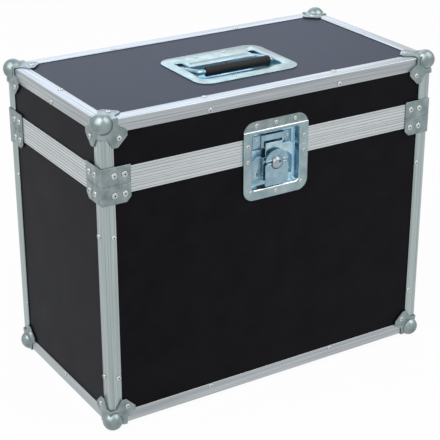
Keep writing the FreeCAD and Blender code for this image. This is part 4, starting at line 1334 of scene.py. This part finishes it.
@dataclass
class FoamPads:
    """Thin foam pads in the base and the lid, crowned a little and soft at their edges."""

    shop: Workshop
    cut: float = 9.0
    edge: float = 2.2
    dip: float = 0.5
    seed: int = 7
    free_share: float = 0.2
    edge_share: float = 4.0
    unevenness: float = 0.25
    fill: float = 0.9

    def build(self) -> None:
        """Build both pads."""
        self.pad("floor_foam", 1.0)
        self.pad("lid_foam", -1.0)

    def pad(self, node: str, up: float) -> bpy.types.Object:
        """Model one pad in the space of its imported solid.

        Args:
            node: the node.
            up: one where the free side looks up, minus one where it looks down.

        Returns:
            The pad.
        """
        low, high = (Vector(corner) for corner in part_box(node))
        size = high - low
        piece = self.shop.merged_copy(node, node + "_pad")
        bevel_edges(piece, self.edge, 3)
        count = [max(2, int(size[axis] / (self.cut * MILLIMETRE))) for axis in range(2)]
        work = bmesh.new()
        work.from_mesh(piece.data)
        for axis in range(2):
            for step in range(1, count[axis]):
                place = low.copy()
                place[axis] += size[axis] * step / count[axis]
                direction = Vector([1.0 if i == axis else 0.0 for i in range(3)])
                bmesh.ops.bisect_plane(
                    work,
                    geom=list(work.verts) + list(work.edges) + list(work.faces),
                    plane_co=place,
                    plane_no=direction,
                )
        chance = random.Random(self.seed)
        middle = (low + high) / 2
        for vertex in work.verts:
            free = (vertex.co.z - middle.z) * up > self.free_share * size.z
            if free:
                across = 1 - max(abs((vertex.co - middle)[i]) / (size[i] / 2) for i in range(2))
                crown = 1 - min(1.0, across * self.edge_share)
                sink = self.dip * crown + self.unevenness * chance.random()
                vertex.co.z -= up * sink * MILLIMETRE
        work.to_mesh(piece.data)
        work.free()
        smooth(piece, 60.0)
        self.shop.fit(piece, node, "foam")
        return piece


@dataclass(frozen=True)
class Lamp:
    """A soft square lamp that looks at the middle of the case. Places are in metres."""

    name: str
    place: tuple[float, float, float]
    size: float
    power: float
    colour: str = "#ffffff"
    target: tuple[float, float, float] = (0.0, 0.0, 0.25)

    def hang(self) -> None:
        """Add the lamp to the scene."""
        data = bpy.data.lights.new(self.name, "AREA")
        data.color = hex_linear(self.colour)[:3]
        data.energy = self.power
        data.size = self.size
        lamp = put_in_scene(self.name, data)
        lamp.location = self.place
        aim = Vector(self.target) - Vector(self.place)
        lamp.rotation_euler = aim.to_track_quat("-Z", "Y").to_euler()


@dataclass
class Studio:
    """Plain pale floor, soft lamps and the camera."""

    lens: float = 110.8
    sensor: float = 36.0
    camera_place: tuple[float, float, float] = (-0.9610, -1.5433, 1.0106)
    azimuth: float = -31.86
    elevation: float = 24.01
    floor_size: float = 14.0
    floor_colour: str = "#e9e9ea"
    ambient: float = 0.32
    floor_glow: float = 0.96
    clip_end: float = 50.0
    lamps: tuple[Lamp, ...] = (
        Lamp("key_lamp", (-1.5, -0.35, 1.95), 2.3, 36.0),
        Lamp("rear_lamp", (0.7, 1.6, 1.5), 1.5, 8.0, "#dbe9ff"),
        Lamp("fill_lamp", (1.05, -0.95, 1.95), 1.7, 18.0),
    )

    def build(self) -> None:
        """Build the floor, the world, the lamps and the camera."""
        self.floor()
        self.world()
        for lamp in self.lamps:
            lamp.hang()
        self.camera()

    def floor(self) -> bpy.types.Object:
        """Build the floor, which looks white and keeps the case's shadow.

        Returns:
            The floor.
        """
        bpy.ops.object.select_all(action="DESELECT")
        bpy.ops.mesh.primitive_plane_add(size=self.floor_size)
        floor = bpy.context.active_object
        floor.name = "floor"
        material = bpy.data.materials.new("white_paper_floor")
        material.use_nodes = True
        tree = material.node_tree
        tree.nodes.clear()
        paper = add_node(
            tree,
            "ShaderNodeBsdfDiffuse",
            {"Color": hex_linear(self.floor_colour), "Roughness": 0.5},
        )
        glow = add_node(tree, "ShaderNodeEmission", {"Strength": 1.0})
        share = add_node(
            tree,
            "ShaderNodeMath",
            {"operation": "MULTIPLY", 1: self.floor_glow},
            {0: self.seen_by(tree)},
        )
        sources = (share.outputs["Value"], paper.outputs["BSDF"], glow.outputs["Emission"])
        mixed = add_node(tree, "ShaderNodeMixShader", links=dict(enumerate(sources)))
        add_node(tree, "ShaderNodeOutputMaterial", links={"Surface": mixed.outputs["Shader"]})
        floor.data.materials.append(material)
        floor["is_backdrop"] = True
        return floor

    def seen_by(self, tree: bpy.types.NodeTree) -> bpy.types.NodeSocket:
        """Tell whether a ray comes from the camera, a reflection or glass.

        Args:
            tree: the tree that takes the nodes.

        Returns:
            A socket that is one for such rays and nought for the others.
        """
        path = add_node(tree, "ShaderNodeLightPath")
        most = path.outputs["Is Camera Ray"]
        for kind in ("Is Glossy Ray", "Is Transmission Ray"):
            links = {0: most, 1: path.outputs[kind]}
            greater = add_node(tree, "ShaderNodeMath", {"operation": "MAXIMUM"}, links)
            most = greater.outputs["Value"]
        return most

    def world(self) -> None:
        """Build a world that is white to look at and soft grey as a light."""
        world = bpy.data.worlds.new("white_studio")
        bpy.context.scene.world = world
        world.use_nodes = True
        tree = world.node_tree
        tree.nodes.clear()
        strength = add_node(
            tree,
            "ShaderNodeMapRange",
            {"To Min": self.ambient, "To Max": 1.0},
            {"Value": self.seen_by(tree)},
        )
        light = add_node(
            tree,
            "ShaderNodeBackground",
            {"Color": (1.0, 1.0, 1.0, 1.0)},
            {"Strength": strength.outputs["Result"]},
        )
        add_node(tree, "ShaderNodeOutputWorld", links={"Surface": light.outputs["Background"]})

    def camera(self) -> None:
        """Place the camera at the photograph's angle."""
        data = bpy.data.cameras.new("camera")
        data.lens = self.lens
        data.sensor_width = self.sensor
        data.clip_end = self.clip_end
        camera = put_in_scene("camera", data)
        turn, tilt = math.radians(self.azimuth), math.radians(self.elevation)
        back = Vector(
            (math.sin(turn) * math.cos(tilt), -math.cos(turn) * math.cos(tilt), math.sin(tilt))
        )
        camera.location = self.camera_place
        camera.rotation_euler = (-back).to_track_quat("-Z", "Y").to_euler()
        bpy.context.scene.camera = camera


def main() -> None:
    """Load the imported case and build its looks."""
    logging.basicConfig(level=logging.INFO, format="%(message)s")
    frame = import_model()
    bpy.context.scene.view_settings.view_transform = "Standard"
    shop = Workshop(frame)
    for assembly in (
        PanelSet(shop),
        ProfileFrame(shop),
        CornerFittings(shop),
        TubularRivets(shop),
        LidHinges(shop),
        ButterflyLatch(shop),
        RecessedHandle(shop),
        FoamPads(shop),
        Studio(),
    ):
        assembly.build()


if __name__ == "__main__":
    main()
